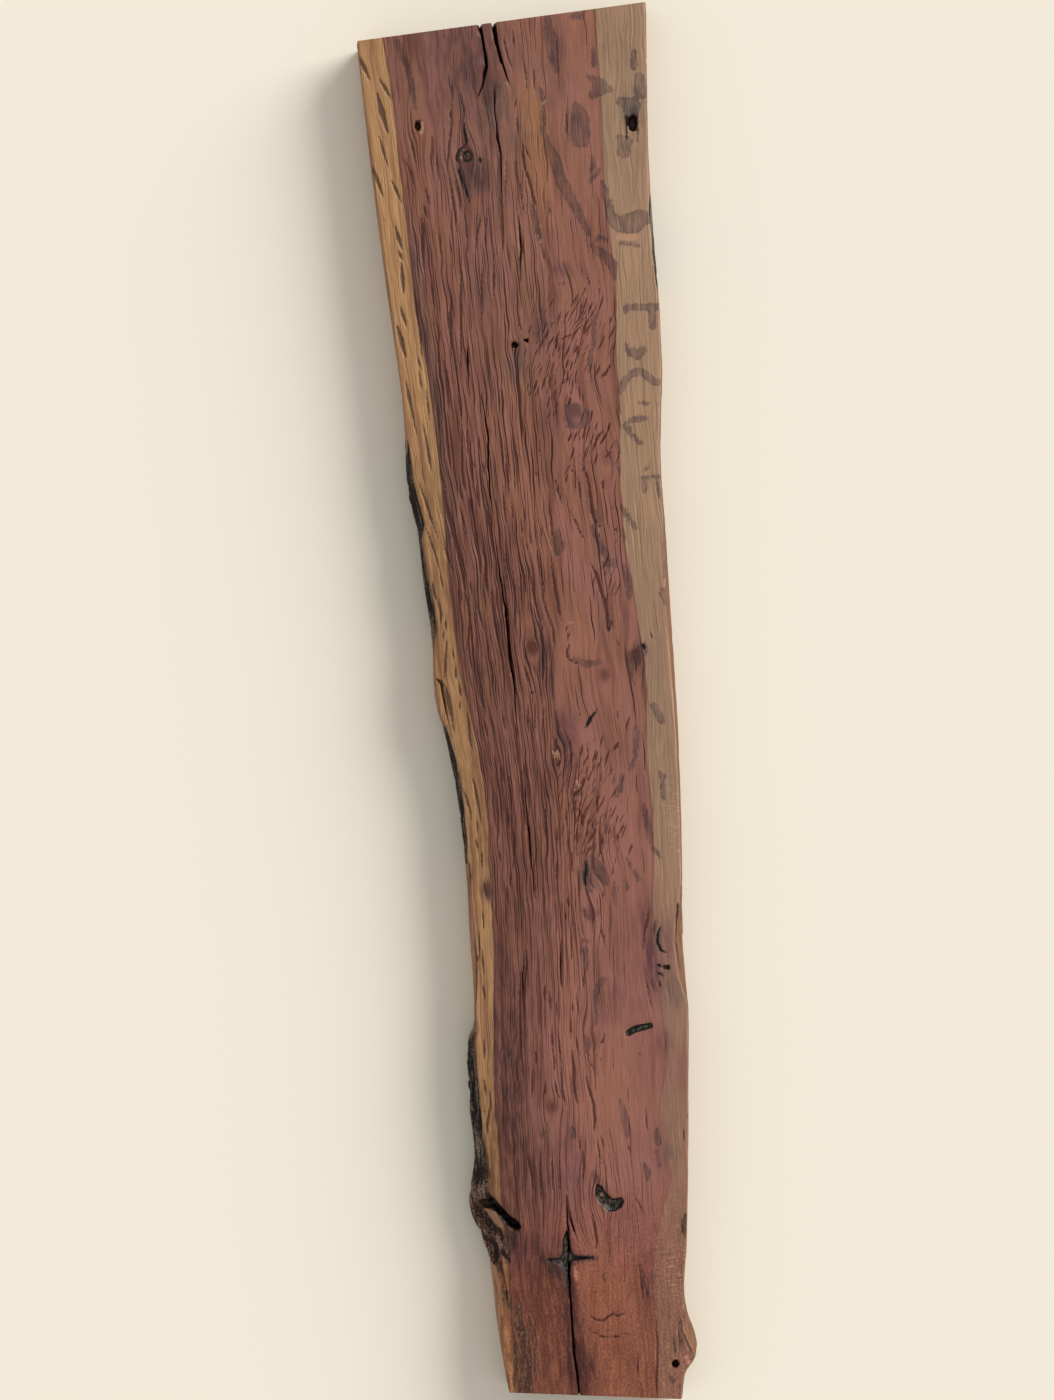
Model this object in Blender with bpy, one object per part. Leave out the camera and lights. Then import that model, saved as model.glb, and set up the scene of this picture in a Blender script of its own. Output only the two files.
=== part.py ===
"""Live edge slab of buloke, a dense Australian she-oak, lying on its sawn back with its figured face up.

The slab is one piece of wood. It runs along Y with its narrow foot end at -Y, its face looks up +Z,
and both long sides keep the outside of the log. The origin is the middle of its footprint, on the
plane that it rests on. Plan lists are in millimetres, as (along Y, across X) for the edges and as
(across X, along Y) for what is cut into the face.
"""

import math
from dataclasses import dataclass

import bmesh
import bpy
import numpy as np
from mathutils import Vector, noise

MM = 0.001
THICKNESS = 50 * MM

# Corners of the two saw cuts across the slab, as (across, along). The cuts aren't quite square.
FOOT_LEFT, FOOT_RIGHT = (-93, -730), (95, -750)
HEAD_LEFT, HEAD_RIGHT = (-157, 729), (158, 750)

# The widest line of each live edge, seen from above: (along, across).
LEFT_EDGE = (
    (-730, -93), (-656, -100), (-610, -102), (-582, -104.5), (-561, -108.5), (-548, -114), (-533, -119),
    (-514, -120), (-497, -116), (-471, -113.5), (-446, -114), (-403, -114), (-360, -112), (-350, -110.5),
    (-340, -104.5), (-318, -101.5), (-260, -101), (-140, -101), (-54, -108), (-25, -112), (12, -120),
    (77, -120), (163, -126), (200, -128), (228, -133), (335, -134), (466, -143), (595, -151), (729, -157),
)
RIGHT_EDGE = (
    (-750, 95), (-735, 97.5), (-724, 100.5), (-717, 105), (-710, 111), (-698, 114.5), (-687, 113.5),
    (-676, 111), (-665, 107.5), (-654, 105.5), (-585, 111), (-499, 118.5), (-414, 124.5), (-328, 130),
    (-263, 129.5), (-156, 135), (-48, 139), (167, 140.5), (274, 141.5), (317, 145), (345, 148),
    (403, 150), (596, 150), (661, 153), (750, 158),
)

# How far the face's own edge stands in from that line, where the log's side slopes out below it.
LEFT_FLARE = (
    (-730, 2), (-671, 3), (-627, 9), (-594, 10), (-580, 17), (-561, 27), (-545, 30), (-530, 28),
    (-512, 22), (-480, 16), (-455, 13), (-403, 12.5), (-366, 10.5), (-345, 8), (-332, 4), (-311, 2),
    (-261, 6), (-221, 5.5), (-179, 4.5), (-153, 3), (-114, 6), (-80, 8), (-40, 4), (0, 2), (70, 2),
    (92, 4), (110, 8.5), (138, 8), (155, 5), (170, 3), (203, 2.5), (233, 5), (250, 6), (275, 3), (729, 2),
)
RIGHT_FLARE = (
    (-750, 2), (-708, 3), (-700, 6), (-689, 10), (-676, 12), (-664, 7), (-652, 3), (-600, 2),
    (-330, 2), (-318, 4), (-308, 7), (-294, 10), (-277, 10), (-261, 12), (-244, 10), (-222, 5),
    (-193, 2.5), (-40, 4), (30, 6), (110, 6), (170, 3), (750, 2),
)

# Stretches of the live edges that keep bark or a ridged scar: (from, to, depth of the furrows).
LEFT_BARK = ((-625, -340, 7.0), (-130, -30, 3.0), (85, 265, 4.5))
RIGHT_BARK = ((-712, -650, 5.0), (-320, -200, 2.0))
BARE_FURROW = 0.9  # relief of the log's surface where the bark has gone
BARK_FADE = 12  # run over which bark thins out to nothing
RIDGE_PITCH = 15  # from one bark ridge to the next, down the side
RIDGE_WANDER = 1.3  # pitches by which the ridges wander off line
WANDER_RUN = (45, 40)  # scale of that wandering, along the grain and down the side
BREAK_RUN = (17, 11)  # scale of the cracks that break the ridges into plates
LEFT_SEED, RIGHT_SEED = 3.1, 8.4

# Crosswise loops: closer together in the foot's share of the length, where the bark and the knob are.
FOOT_SHARE = 0.29
FOOT_STATIONS = 56
HEAD_STATIONS = 78
LEVELS = (0, 0.03, 0.11, 0.2, 0.3, 0.4, 0.5, 0.6, 0.7, 0.8, 0.89, 0.97, 1)  # of the thickness, face down
WIDEST_LEVEL = 0.58
BACK_INSET = 0.35  # share of the flare by which the back stands in again
ARRIS = 1.2  # easing of the face's and the back's long edges

SKIN = 3.0  # how far a cutter stands clear of the face that it cuts
END_TAPER = 0.45  # share of a check's length over which a closed end closes up


@dataclass(frozen=True)
class Check:
    """A drying crack or a void: a V-shaped groove along a route on the face, or on the back."""

    name: str
    route: tuple  # (across, along), from the head down
    width: float
    depth: float
    open_head: bool = False  # runs out of the head end
    open_foot: bool = False
    on_back: bool = False


@dataclass(frozen=True)
class Hole:
    """A knot hole or a borer's hole: an oval that tapers to a flat bottom."""

    name: str
    across: float
    along: float
    width: float
    height: float
    depth: float

    def outline(self):
        """The oval's points."""
        turns = [2 * math.pi * i / HOLE_SIDES for i in range(HOLE_SIDES)]
        half_wide, half_high = self.width / 2, self.height / 2
        return [(self.across + half_wide * math.cos(t), self.along + half_high * math.sin(t)) for t in turns]


@dataclass(frozen=True)
class Pocket:
    """A pocket of decayed or resinous wood, with an outline of its own."""

    name: str
    shape: tuple
    depth: float

    def outline(self):
        """The pocket's points."""
        return self.shape


CHECKS = (
    Check("head_split_left", ((-24, 760), (-23, 736), (-20, 718), (-19, 692), (-24, 672), (-31, 658)),
          width=3.6, depth=20, open_head=True),
    Check("head_split_right", ((-10, 764), (-9, 738), (-7, 720), (-3, 700), (5, 670)),
          width=4.2, depth=26, open_head=True),
    Check("head_check", ((-13, 674), (-13, 645), (-12, 615), (-10, 596), (-12, 545)), width=2.6, depth=10),
    Check("shoulder_check", ((5, 535), (5, 504), (3, 470)), width=2.6, depth=6),
    Check("heart_check_top", ((-59, 400), (-60, 380), (-61, 352)), width=2.6, depth=6),
    Check("heart_check_upper", ((-50, 358), (-47, 330), (-44, 296), (-46, 262), (-46, 232), (-43, 200)),
          width=2.6, depth=9),
    Check("heart_check_lower", ((-44, 190), (-42, 150), (-38, 108), (-37, 62), (-34, 22), (-35, -30)),
          width=3.2, depth=12),
    Check("waist_check", ((-31, -55), (-30, -109), (-29, -155), (-28, -212)), width=2.2, depth=7),
    Check("waist_check_lower", ((-42, -255), (-47, -290), (-49, -330)), width=2.2, depth=6),
    Check("short_check", ((-4, -258), (-5, -280), (-6, -302)), width=2.2, depth=5),
    Check("foot_check", ((-16, -520), (-16, -545), (-18, -590), (-19, -640), (-19, -690), (-16, -738),
                         (-14, -765)), width=4.0, depth=22, open_foot=True),
    Check("foot_check_branch", ((-15, -536), (-11, -556), (-5, -580)), width=2.4, depth=6),
    Check("callus_seam", ((-97, -560), (-93, -575), (-90, -600), (-86, -634)), width=6, depth=7),
    Check("limb_scar", ((-119, 44), (-113, 34), (-110, 10), (-107, -10)), width=6, depth=5),
    Check("back_head_split", ((-40, 760), (-38, 700), (-30, 640), (-31, 590)),
          width=3.4, depth=16, open_head=True, on_back=True),
    Check("back_heart_check", ((-20, 240), (-14, 130), (-16, 20), (-10, -90)),
          width=2.6, depth=8, on_back=True),
    Check("back_foot_split", ((6, -560), (2, -640), (4, -700), (2, -768)),
          width=3.4, depth=16, open_foot=True, on_back=True),
)

HOLES = (
    Hole("knot_hole_left", across=-97, along=634, width=8, height=12, depth=9),
    Hole("knot_ring", across=-49, along=598, width=9, height=9, depth=5),
    Hole("knot_hole_right", across=134, along=621, width=12, height=22, depth=12),
    Hole("borer_hole_large", across=-9, along=392, width=7, height=7, depth=11),
    Hole("borer_hole_small", across=4, along=396, width=4.5, height=4.5, depth=9),
    Hole("knob_hole", across=89, along=-712, width=9, height=9, depth=11),
    Hole("scar_hole", across=108, along=-286, width=10, height=6, depth=4),
)
POCKETS = (
    Pocket("resin_pocket", ((18, -512), (23, -516), (28, -525), (34, -530), (43, -529), (46, -533),
                            (43, -540), (35, -544), (28, -544), (22, -537), (16, -528), (15, -520)), depth=4),
    Pocket("resin_slot", ((60, -357), (59, -353), (63, -349), (70, -346), (86, -344), (90, -346), (89, -350),
                          (81, -352), (70, -354), (64, -357)), depth=3),
    Pocket("decay_cross", ((-18, -566), (-12, -588), (9, -590), (9, -595), (-12, -599), (-18, -614),
                           (-22, -619), (-26, -608), (-33, -602), (-45, -596), (-44, -591), (-24, -584)),
           depth=7),
    Pocket("branch_void", ((-108, -508), (-94, -515), (-84, -528), (-75, -541), (-68, -551), (-69, -558),
                           (-78, -557), (-88, -547), (-95, -536), (-108, -524)), depth=16),
)
HOLE_SIDES = 12
BOTTOM_SHARE = 0.75  # a hole's width at its bottom over its width at the face


def clear_scene():
    """Removes the startup objects."""
    for old in list(bpy.data.objects):
        bpy.data.objects.remove(old)


def curve_through(points, at):
    """A smooth curve through (place, value) points, read at the given places."""
    places, values = np.array(points, float).T
    slopes = np.gradient(values, places)
    low = np.clip(np.searchsorted(places, at) - 1, 0, len(places) - 2)
    gap = places[low + 1] - places[low]
    t = (at - places[low]) / gap
    rise = values[low + 1] - values[low]
    cubic = slopes[low] * gap * t * (1 - t) ** 2 - slopes[low + 1] * gap * t * t * (1 - t)
    return values[low] + rise * t * t * (3 - 2 * t) + cubic


def bark_depth(stretches, along):
    """Furrow depth at each place along an edge: bark where it is left, a faint ripple elsewhere."""
    depth = np.full(len(along), BARE_FURROW)
    for start, end, furrow in stretches:
        inside = np.clip(np.minimum(along - start, end - along) / BARK_FADE, 0, 1)
        depth += (furrow - BARE_FURROW) * inside * inside * (3 - 2 * inside)
    return depth


def furrows(along, level, seed):
    """Ridges that wander along the grain and break into plates, from 0 on a ridge to 1 in a furrow."""
    down = level * THICKNESS / MM
    wander, breaks = (
        np.array([noise.noise(Vector((y / run, down / drop, seed))) for y in along])
        for run, drop in (WANDER_RUN, BREAK_RUN)
    )
    ridge = np.cos(2 * math.pi * (down / RIDGE_PITCH + RIDGE_WANDER * wander))
    return np.clip(0.5 - 0.45 * ridge + 0.5 * breaks, 0, 1)


def stand_in(flare, level):
    """How far a live edge stands in from its widest line at a level: the log's side is round."""
    if level < WIDEST_LEVEL:
        return flare * (1 - math.sin(math.pi / 2 * level / WIDEST_LEVEL))
    below = (level - WIDEST_LEVEL) / (1 - WIDEST_LEVEL)
    return (flare * BACK_INSET + 1) * below * below


def side_lines():
    """Plan points of both widest lines, paired from foot to head, with the way across from left to right."""
    share = np.concatenate([
        np.linspace(0, FOOT_SHARE, FOOT_STATIONS, endpoint=False),
        np.linspace(FOOT_SHARE, 1, HEAD_STATIONS),
    ])
    left_along = FOOT_LEFT[1] + (HEAD_LEFT[1] - FOOT_LEFT[1]) * share
    right_along = FOOT_RIGHT[1] + (HEAD_RIGHT[1] - FOOT_RIGHT[1]) * share
    left = np.column_stack([curve_through(LEFT_EDGE, left_along), left_along])
    right = np.column_stack([curve_through(RIGHT_EDGE, right_along), right_along])
    across = right - left
    across /= np.linalg.norm(across, axis=1)[:, None]
    return left, right, across


def level_outline(level):
    """The slab's closed outline at a level, up the left side and down the right, in millimetres."""
    left, right, across = side_lines()
    easing = ARRIS if level in (LEVELS[0], LEVELS[-1]) else 0
    insets = []
    sides = ((left, LEFT_FLARE, LEFT_BARK, LEFT_SEED), (right, RIGHT_FLARE, RIGHT_BARK, RIGHT_SEED))
    for side, flare, bark, seed in sides:
        along = side[:, 1]
        places, widths = np.array(flare, float).T
        relief = bark_depth(bark, along) * furrows(along, level, seed) * math.sin(math.pi * level) ** 0.5
        insets.append(stand_in(np.interp(along, places, widths), level) + relief + easing)
    left = left + across * insets[0][:, None]
    right = right - across * insets[1][:, None]
    return np.concatenate([left, right[::-1]])


def plan_centre():
    """Middle of the footprint's box, which becomes the origin."""
    outlines = np.concatenate([level_outline(level) for level in LEVELS])
    return (outlines.min(0) + outlines.max(0)) / 2


def slab_body(centre, material):
    """The slab before its cracks: the level outlines, one under the other, with the face and the back."""
    mesh = bmesh.new()
    loops = []
    for level in LEVELS:
        height = THICKNESS * (1 - level)
        outline = (level_outline(level) - centre) * MM
        loops.append([mesh.verts.new((x, y, height)) for x, y in outline])
    count = len(loops[0])
    for upper, lower in zip(loops, loops[1:]):
        for i in range(count):
            j = (i + 1) % count
            mesh.faces.new((upper[i], upper[j], lower[j], lower[i]))
    mesh.faces.new(loops[0])
    mesh.faces.new(list(reversed(loops[-1])))
    bmesh.ops.recalc_face_normals(mesh, faces=mesh.faces)
    return object_from(mesh, "slab", material)


def object_from(mesh, name, material=None):
    """Puts a bmesh in the scene as a named object."""
    data = bpy.data.meshes.new(name)
    mesh.to_mesh(data)
    mesh.free()
    made = bpy.data.objects.new(name, data)
    bpy.context.scene.collection.objects.link(made)
    if material:
        data.materials.append(material)
    return made


def groove_sections(check, centre):
    """For each point of a check's route: its place, the way across it, its half width and its depth."""
    route = (np.array(check.route, float) - centre) * MM
    heading = np.gradient(route, axis=0)
    heading /= np.linalg.norm(heading, axis=1)[:, None]
    sideways = np.column_stack([-heading[:, 1], heading[:, 0]])
    share = np.linspace(0, 1, len(route))
    fade = np.ones(len(route))
    for is_open, from_end in ((check.open_head, share), (check.open_foot, 1 - share)):
        if not is_open:
            fade = fade * np.sin(np.pi / 2 * np.clip(from_end / END_TAPER, 0, 1))
    return route, sideways, check.width / 2 * MM * fade, check.depth * MM * fade


def check_cutter(check, centre):
    """A wedge that opens a check: wide above the face, narrowing to an edge at the check's depth."""
    route, sideways, half, depth = groove_sections(check, centre)
    surface, inward = (0, 1) if check.on_back else (THICKNESS, -1)
    outer = surface - inward * SKIN * MM
    mesh = bmesh.new()
    tips = [mesh.verts.new((*route[i], outer)) for i in (0, -1)]
    rings = []
    for i in range(1, len(route) - 1):
        mouth = half[i] * (1 + SKIN * MM / depth[i])
        corners = [
            (*(route[i] + sideways[i] * mouth), outer),
            (*(route[i] - sideways[i] * mouth), outer),
            (*route[i], surface + inward * depth[i]),
        ]
        rings.append([mesh.verts.new(corner) for corner in corners])
    for first, second in zip(rings, rings[1:]):
        for a in range(3):
            b = (a + 1) % 3
            mesh.faces.new((first[a], first[b], second[b], second[a]))
    for tip, ring in zip(tips, (rings[0], rings[-1])):
        for a in range(3):
            mesh.faces.new((tip, ring[a], ring[(a + 1) % 3]))
    bmesh.ops.recalc_face_normals(mesh, faces=mesh.faces)
    return object_from(mesh, check.name)


def hole_cutter(hole, centre):
    """A plug of the hole's outline, from clear of the face down to a smaller flat bottom."""
    outline = (np.array(hole.outline(), float) - centre) * MM
    middle = outline.mean(0)
    mesh = bmesh.new()
    rings = []
    for height, share in ((SKIN, 1), (0, 1), (-hole.depth, BOTTOM_SHARE)):
        points = middle + (outline - middle) * share
        rings.append([mesh.verts.new((x, y, THICKNESS + height * MM)) for x, y in points])
    count = len(outline)
    for upper, lower in zip(rings, rings[1:]):
        for i in range(count):
            j = (i + 1) % count
            mesh.faces.new((upper[i], upper[j], lower[j], lower[i]))
    mesh.faces.new(rings[0])
    mesh.faces.new(list(reversed(rings[-1])))
    bmesh.ops.recalc_face_normals(mesh, faces=mesh.faces)
    return object_from(mesh, hole.name)


def cut(slab, cutters):
    """Takes the cutters out of the slab, one Boolean for all of them."""
    tools = bpy.data.collections.new("cutters")
    bpy.context.scene.collection.children.link(tools)
    for cutter in cutters:
        bpy.context.scene.collection.objects.unlink(cutter)
        tools.objects.link(cutter)
        cutter.hide_render = True
        cutter.display_type = "WIRE"
    boolean = slab.modifiers.new("checks and holes", "BOOLEAN")
    boolean.operand_type = "COLLECTION"
    boolean.collection = tools
    boolean.operation = "DIFFERENCE"


def oiled_buloke():
    """Oiled red-brown heartwood, the slab's main colour."""
    material = bpy.data.materials.new("oiled_buloke")
    material.use_nodes = True
    shader = material.node_tree.nodes["Principled BSDF"]
    shader.inputs["Base Color"].default_value = (0.19, 0.085, 0.058, 1)
    shader.inputs["Roughness"].default_value = 0.5
    shader.inputs["Metallic"].default_value = 0
    material.diffuse_color = (0.19, 0.085, 0.058, 1)
    return material


def build():
    """Makes the slab."""
    clear_scene()
    centre = plan_centre()
    slab = slab_body(centre, oiled_buloke())
    cutters = [check_cutter(check, centre) for check in CHECKS]
    cutters += [hole_cutter(hole, centre) for hole in HOLES + POCKETS]
    cut(slab, cutters)


build()
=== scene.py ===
"""Buloke live edge slab, dressed: figured heartwood, pale sapwood, bark, drying checks and knots.

The slab lies on its sawn back with its narrow foot end at -Y and its face up. Shapes are worked out in
millimetres and put into the mesh in metres. What is read off the photograph, such as the course
of a dark fleck, is written in the photograph's own pixels and turned into millimetres by one function.
"""

import logging
import math
from collections.abc import Callable
from dataclasses import dataclass
from enum import Enum
from functools import partial

import bmesh
import bpy
import numpy as np
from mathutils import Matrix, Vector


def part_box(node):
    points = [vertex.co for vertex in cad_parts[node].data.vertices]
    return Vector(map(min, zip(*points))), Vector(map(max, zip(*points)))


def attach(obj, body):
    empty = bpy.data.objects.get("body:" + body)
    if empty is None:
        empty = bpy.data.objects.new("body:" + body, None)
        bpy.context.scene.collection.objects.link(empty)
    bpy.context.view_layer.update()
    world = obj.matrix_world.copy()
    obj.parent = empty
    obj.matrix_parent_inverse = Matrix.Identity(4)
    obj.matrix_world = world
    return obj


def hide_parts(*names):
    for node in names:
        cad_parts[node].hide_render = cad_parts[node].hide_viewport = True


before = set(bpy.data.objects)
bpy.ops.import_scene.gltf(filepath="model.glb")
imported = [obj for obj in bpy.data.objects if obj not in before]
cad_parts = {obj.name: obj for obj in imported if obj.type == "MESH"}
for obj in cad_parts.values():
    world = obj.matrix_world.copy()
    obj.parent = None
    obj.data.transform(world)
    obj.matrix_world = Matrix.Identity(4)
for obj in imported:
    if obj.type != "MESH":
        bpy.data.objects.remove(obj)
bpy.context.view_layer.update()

LOG = logging.getLogger("slab")
MM = 0.001
THICKNESS = 50.0
FIELD_REACH = 6.0  # millimetres past which a field says no more than that its mark is far
NEAR_REACH = 12.0  # millimetres round a mark within which its field is worked out
TIP_SHARE = 0.35  # a fleck's width at its two tips, as a share of its greatest
SPREAD_PX = 0.5  # how much wider a fleck is drawn than it looks, because its edges fade

# The photograph: where its middle falls on the slab, how far the slab leans in it, and its scale.
PHOTO_SIZE_PX = (1054, 1400)
PHOTO_MIDDLE_PX = (527.0, 700.0)
PHOTO_MIDDLE_MM = (-22.0, 10.6)
PHOTO_LEAN = math.radians(3.908)
MM_PER_PX = 1.0739

Points = tuple[tuple[float, float], ...]

# Both live edges at their widest, as (along, across), and how far the face's edge stands in from there.
FOOT_CUT = ((-93, -730), (95, -750))
HEAD_CUT = ((-157, 729), (158, 750))
LEFT_EDGE: Points = (
    (-730, -93), (-656, -100), (-610, -102), (-588, -104.5), (-569, -109), (-557, -114), (-542, -119),
    (-516, -120.5), (-497, -116), (-471, -113.5), (-446, -114), (-403, -114), (-360, -112), (-350, -110.5),
    (-340, -104.5), (-318, -101.5), (-260, -101), (-140, -101), (-54, -108), (-25, -112), (12, -120),
    (77, -120), (163, -126), (200, -128), (228, -133), (335, -134), (466, -143), (595, -151), (729, -157),
)
RIGHT_EDGE: Points = (
    (-750, 95), (-735, 97.5), (-724, 100.5), (-717, 105), (-710, 111), (-698, 114.5), (-687, 113.5),
    (-676, 111), (-665, 107.5), (-654, 105.5), (-585, 111), (-499, 118.5), (-414, 124.5), (-328, 130),
    (-263, 129.5), (-156, 135), (-48, 139), (167, 140.5), (274, 141.5), (317, 145), (345, 148),
    (403, 150), (596, 150), (661, 153), (750, 158),
)
LEFT_FLARE: Points = (
    (-730, 2), (-671, 3), (-627, 9), (-594, 10), (-580, 17), (-561, 27), (-545, 30), (-530, 28),
    (-512, 22), (-480, 16), (-455, 13), (-403, 12.5), (-366, 10.5), (-345, 8), (-332, 4), (-311, 2),
    (-261, 6), (-221, 5.5), (-179, 4.2), (-157, 3.2), (-130, 4.8), (-98, 7), (-76, 7.5), (-44, 7), (-12, 5),
    (5, 2.5), (70, 2.2), (80, 3.5), (96, 6.5), (118, 9), (139, 7), (161, 5.5), (190, 3.8), (198, 6.5),
    (206, 10), (225, 10.5), (247, 9), (268, 8), (285, 5.5), (305, 3.5), (325, 2), (729, 2),
)
RIGHT_FLARE: Points = (
    (-750, 2), (-708, 3), (-700, 6), (-689, 10), (-676, 12), (-664, 7), (-652, 3), (-600, 2),
    (-330, 2), (-318, 4), (-308, 7), (-294, 10), (-277, 10), (-261, 12), (-244, 10), (-222, 5),
    (-193, 2.5), (-40, 4), (30, 6), (110, 6), (170, 3), (430, 2), (452, 4), (532, 4.5), (550, 2), (750, 2),
)

# Where sapwood meets heartwood on the face, and the line that the heart checks follow: (along, across).
SAP_LINE_LEFT: Points = (
    (-760, -79), (-728, -81), (-674, -84), (-620, -84), (-588, -82), (-560, -84), (-509, -86), (-487, -85),
    (-431, -86), (-373, -84), (-316, -80), (-258, -76), (-203, -75), (-161, -75), (-123, -73), (-62, -76),
    (-5, -83), (43, -90), (103, -95), (183, -97), (250, -98), (316, -101), (370, -105), (448, -113),
    (523, -116), (584, -119), (677, -123), (727, -128), (770, -130),
)
SAP_LINE_RIGHT: Points = (
    (-760, 68), (-737, 69), (-666, 72), (-631, 71), (-588, 76), (-545, 87), (-509, 99), (-480, 91),
    (-428, 93), (-385, 103), (-328, 101), (-225, 98), (-184, 102), (-101, 105), (-60, 103), (4, 107),
    (46, 107), (72, 105), (131, 100), (164, 96), (215, 95), (259, 96), (324, 100), (376, 100), (468, 104),
    (508, 101), (570, 100), (639, 102), (709, 102), (742, 103), (770, 103),
)
HEART_LINE: Points = (
    (-765, -14), (-640, -19), (-545, -16), (-430, -24), (-330, -34), (-212, -29), (-109, -30), (-55, -31),
    (-30, -34), (62, -37), (150, -42), (232, -45), (296, -44), (358, -48), (450, -36), (560, -22),
    (672, -20), (764, -16),
)
# Trends along the slab: (along, share), except for the shade's reach, in millimetres right of the heart.
LEFT_SHADE: Points = (
    (-765, 0.62), (-640, 0.7), (-540, 0.3), (-440, 0.46), (-310, 0.42), (-200, 0.46), (-40, 0.42),
    (60, 0.5), (150, 0.42), (270, 0.2), (400, 0.14), (500, 0.08), (600, 0), (764, 0),
)
SHADE_REACH: Points = (
    (-765, 25), (-640, 15), (-560, -5), (-440, -14), (-300, 22), (-200, 44), (-40, 42), (120, 48),
    (220, 32), (300, 28), (764, 25),
)
SAP_SHADE: Points = (
    (-765, 0.74), (-560, 0.72), (-455, 0.7), (-370, 0.35), (-310, 0.05), (-230, 0.25), (-155, 0.5),
    (-80, 0.48), (0, 0.42), (80, 0.5), (165, 0.54), (325, 0.28), (450, 0.14), (560, 0.12), (764, 0.2),
)
FLECK_DARKNESS: Points = (
    (-765, 0.45), (-600, 0.55), (-500, 0.68), (-400, 0.64), (-300, 0.72), (-200, 0.9), (-100, 1.05),
    (60, 1.2), (330, 1.15), (450, 0.95), (560, 0.75), (680, 0.6), (764, 0.5),
)
MIDDLE_LINE: Points = ((-765, 24), (-500, 28), (0, 34), (400, 38), (764, 42))

# The run of the grain in the outer wood, steadier than the sapwood's own edge.
GRAIN_LEFT: Points = (
    (-760, -80), (-500, -84), (-250, -77), (-100, -76), (43, -88), (250, -98), (450, -112), (620, -121),
    (770, -131),
)
GRAIN_RIGHT: Points = ((-760, 92), (-400, 97), (0, 105), (300, 98), (760, 103))


class Side(Enum):
    """Which live edge, with its place in the saw cuts' corners."""

    LEFT = 0
    RIGHT = 1


class Tone(Enum):
    """What a mark on the face is, by the colour that it gives."""

    LINE = "a dark ray fleck or hairline"
    STAIN = "a purple grey stain"
    # Black is resin or decay, and also a painted shadow along the right edge's step.
    BLACK = "resin or decay"
    # Pale callus wood, and painted highlights: glints of resin and lit arrises.
    PALE = "pale callus wood or a glint of resin"
    BARK = "bark or dark brown decay that laps on to the face"


class Cast(Enum):
    """A soft change of the wood's colour; the value is its place in the mesh's fields."""

    SHADE = 0
    ROSE = 1
    PURPLE = 2
    ORANGE = 3
    GREY = 4
    NET = 5  # fine lines across the grain
    CURL = 6  # short flecks that lean
    BLUSH = 7  # sapwood that takes on the heartwood's colour
    PLAIN = 8  # few ray flecks


def photo_mm(points: Points) -> np.ndarray:
    """Turns photo pixels into slab millimetres: centre, turn by the slab's lean, scale and move.

    Args:
        points: (right, down) pixels in the photograph.

    Returns:
        Rows of (across, along).
    """
    right, down = np.array(points, float).T
    right, up = right - PHOTO_MIDDLE_PX[0], PHOTO_MIDDLE_PX[1] - down
    across = (right * math.cos(PHOTO_LEAN) + up * math.sin(PHOTO_LEAN)) * MM_PER_PX + PHOTO_MIDDLE_MM[0]
    along = (up * math.cos(PHOTO_LEAN) - right * math.sin(PHOTO_LEAN)) * MM_PER_PX + PHOTO_MIDDLE_MM[1]
    return np.column_stack([across, along])


def smooth(value: np.ndarray, low: float, high: float) -> np.ndarray:
    """Goes from 0 at low to 1 at high along the curve 3t2 - 2t3."""
    t = np.clip((value - low) / (high - low), 0, 1)
    return t * t * (3 - 2 * t)


def curve_through(points: Points, at: np.ndarray) -> np.ndarray:
    """A smooth curve through (place, value) points: cubic pieces whose slopes are the points' own.

    Args:
        points: Places in rising order, each with its value.
        at: Places to read.

    Returns:
        The value at each place.
    """
    places, values = np.array(points, float).T
    slopes = np.gradient(values, places)
    low = np.clip(np.searchsorted(places, at) - 1, 0, len(places) - 2)
    gap = places[low + 1] - places[low]
    t = np.clip((at - places[low]) / gap, 0, 1)
    rise = values[low + 1] - values[low]
    cubic = slopes[low] * gap * t * (1 - t) ** 2 - slopes[low + 1] * gap * t * t * (1 - t)
    return values[low] + rise * t * t * (3 - 2 * t) + cubic


def lattice_noise(x: np.ndarray, y: np.ndarray, seed: float) -> np.ndarray:
    """Smooth noise from -1 to 1: a scattered value at each whole (x, y), blended in between.

    Args:
        x: First coordinate, in lattice steps.
        y: Second coordinate, in lattice steps.
        seed: Picks another pattern.

    Returns:
        The noise at each point.
    """
    column, row = np.floor(x), np.floor(y)

    def corner(i: int, j: int) -> np.ndarray:
        """The scattered value at a lattice corner."""
        wave = np.sin((column + i) * 12.9898 + (row + j) * 78.233 + seed * 37.719) * 43758.5453
        return 2 * (wave - np.floor(wave)) - 1

    s, t = smooth(x - column, 0, 1), smooth(y - row, 0, 1)
    near = corner(0, 0) * (1 - s) + corner(1, 0) * s
    far = corner(0, 1) * (1 - s) + corner(1, 1) * s
    return near * (1 - t) + far * t


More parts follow.
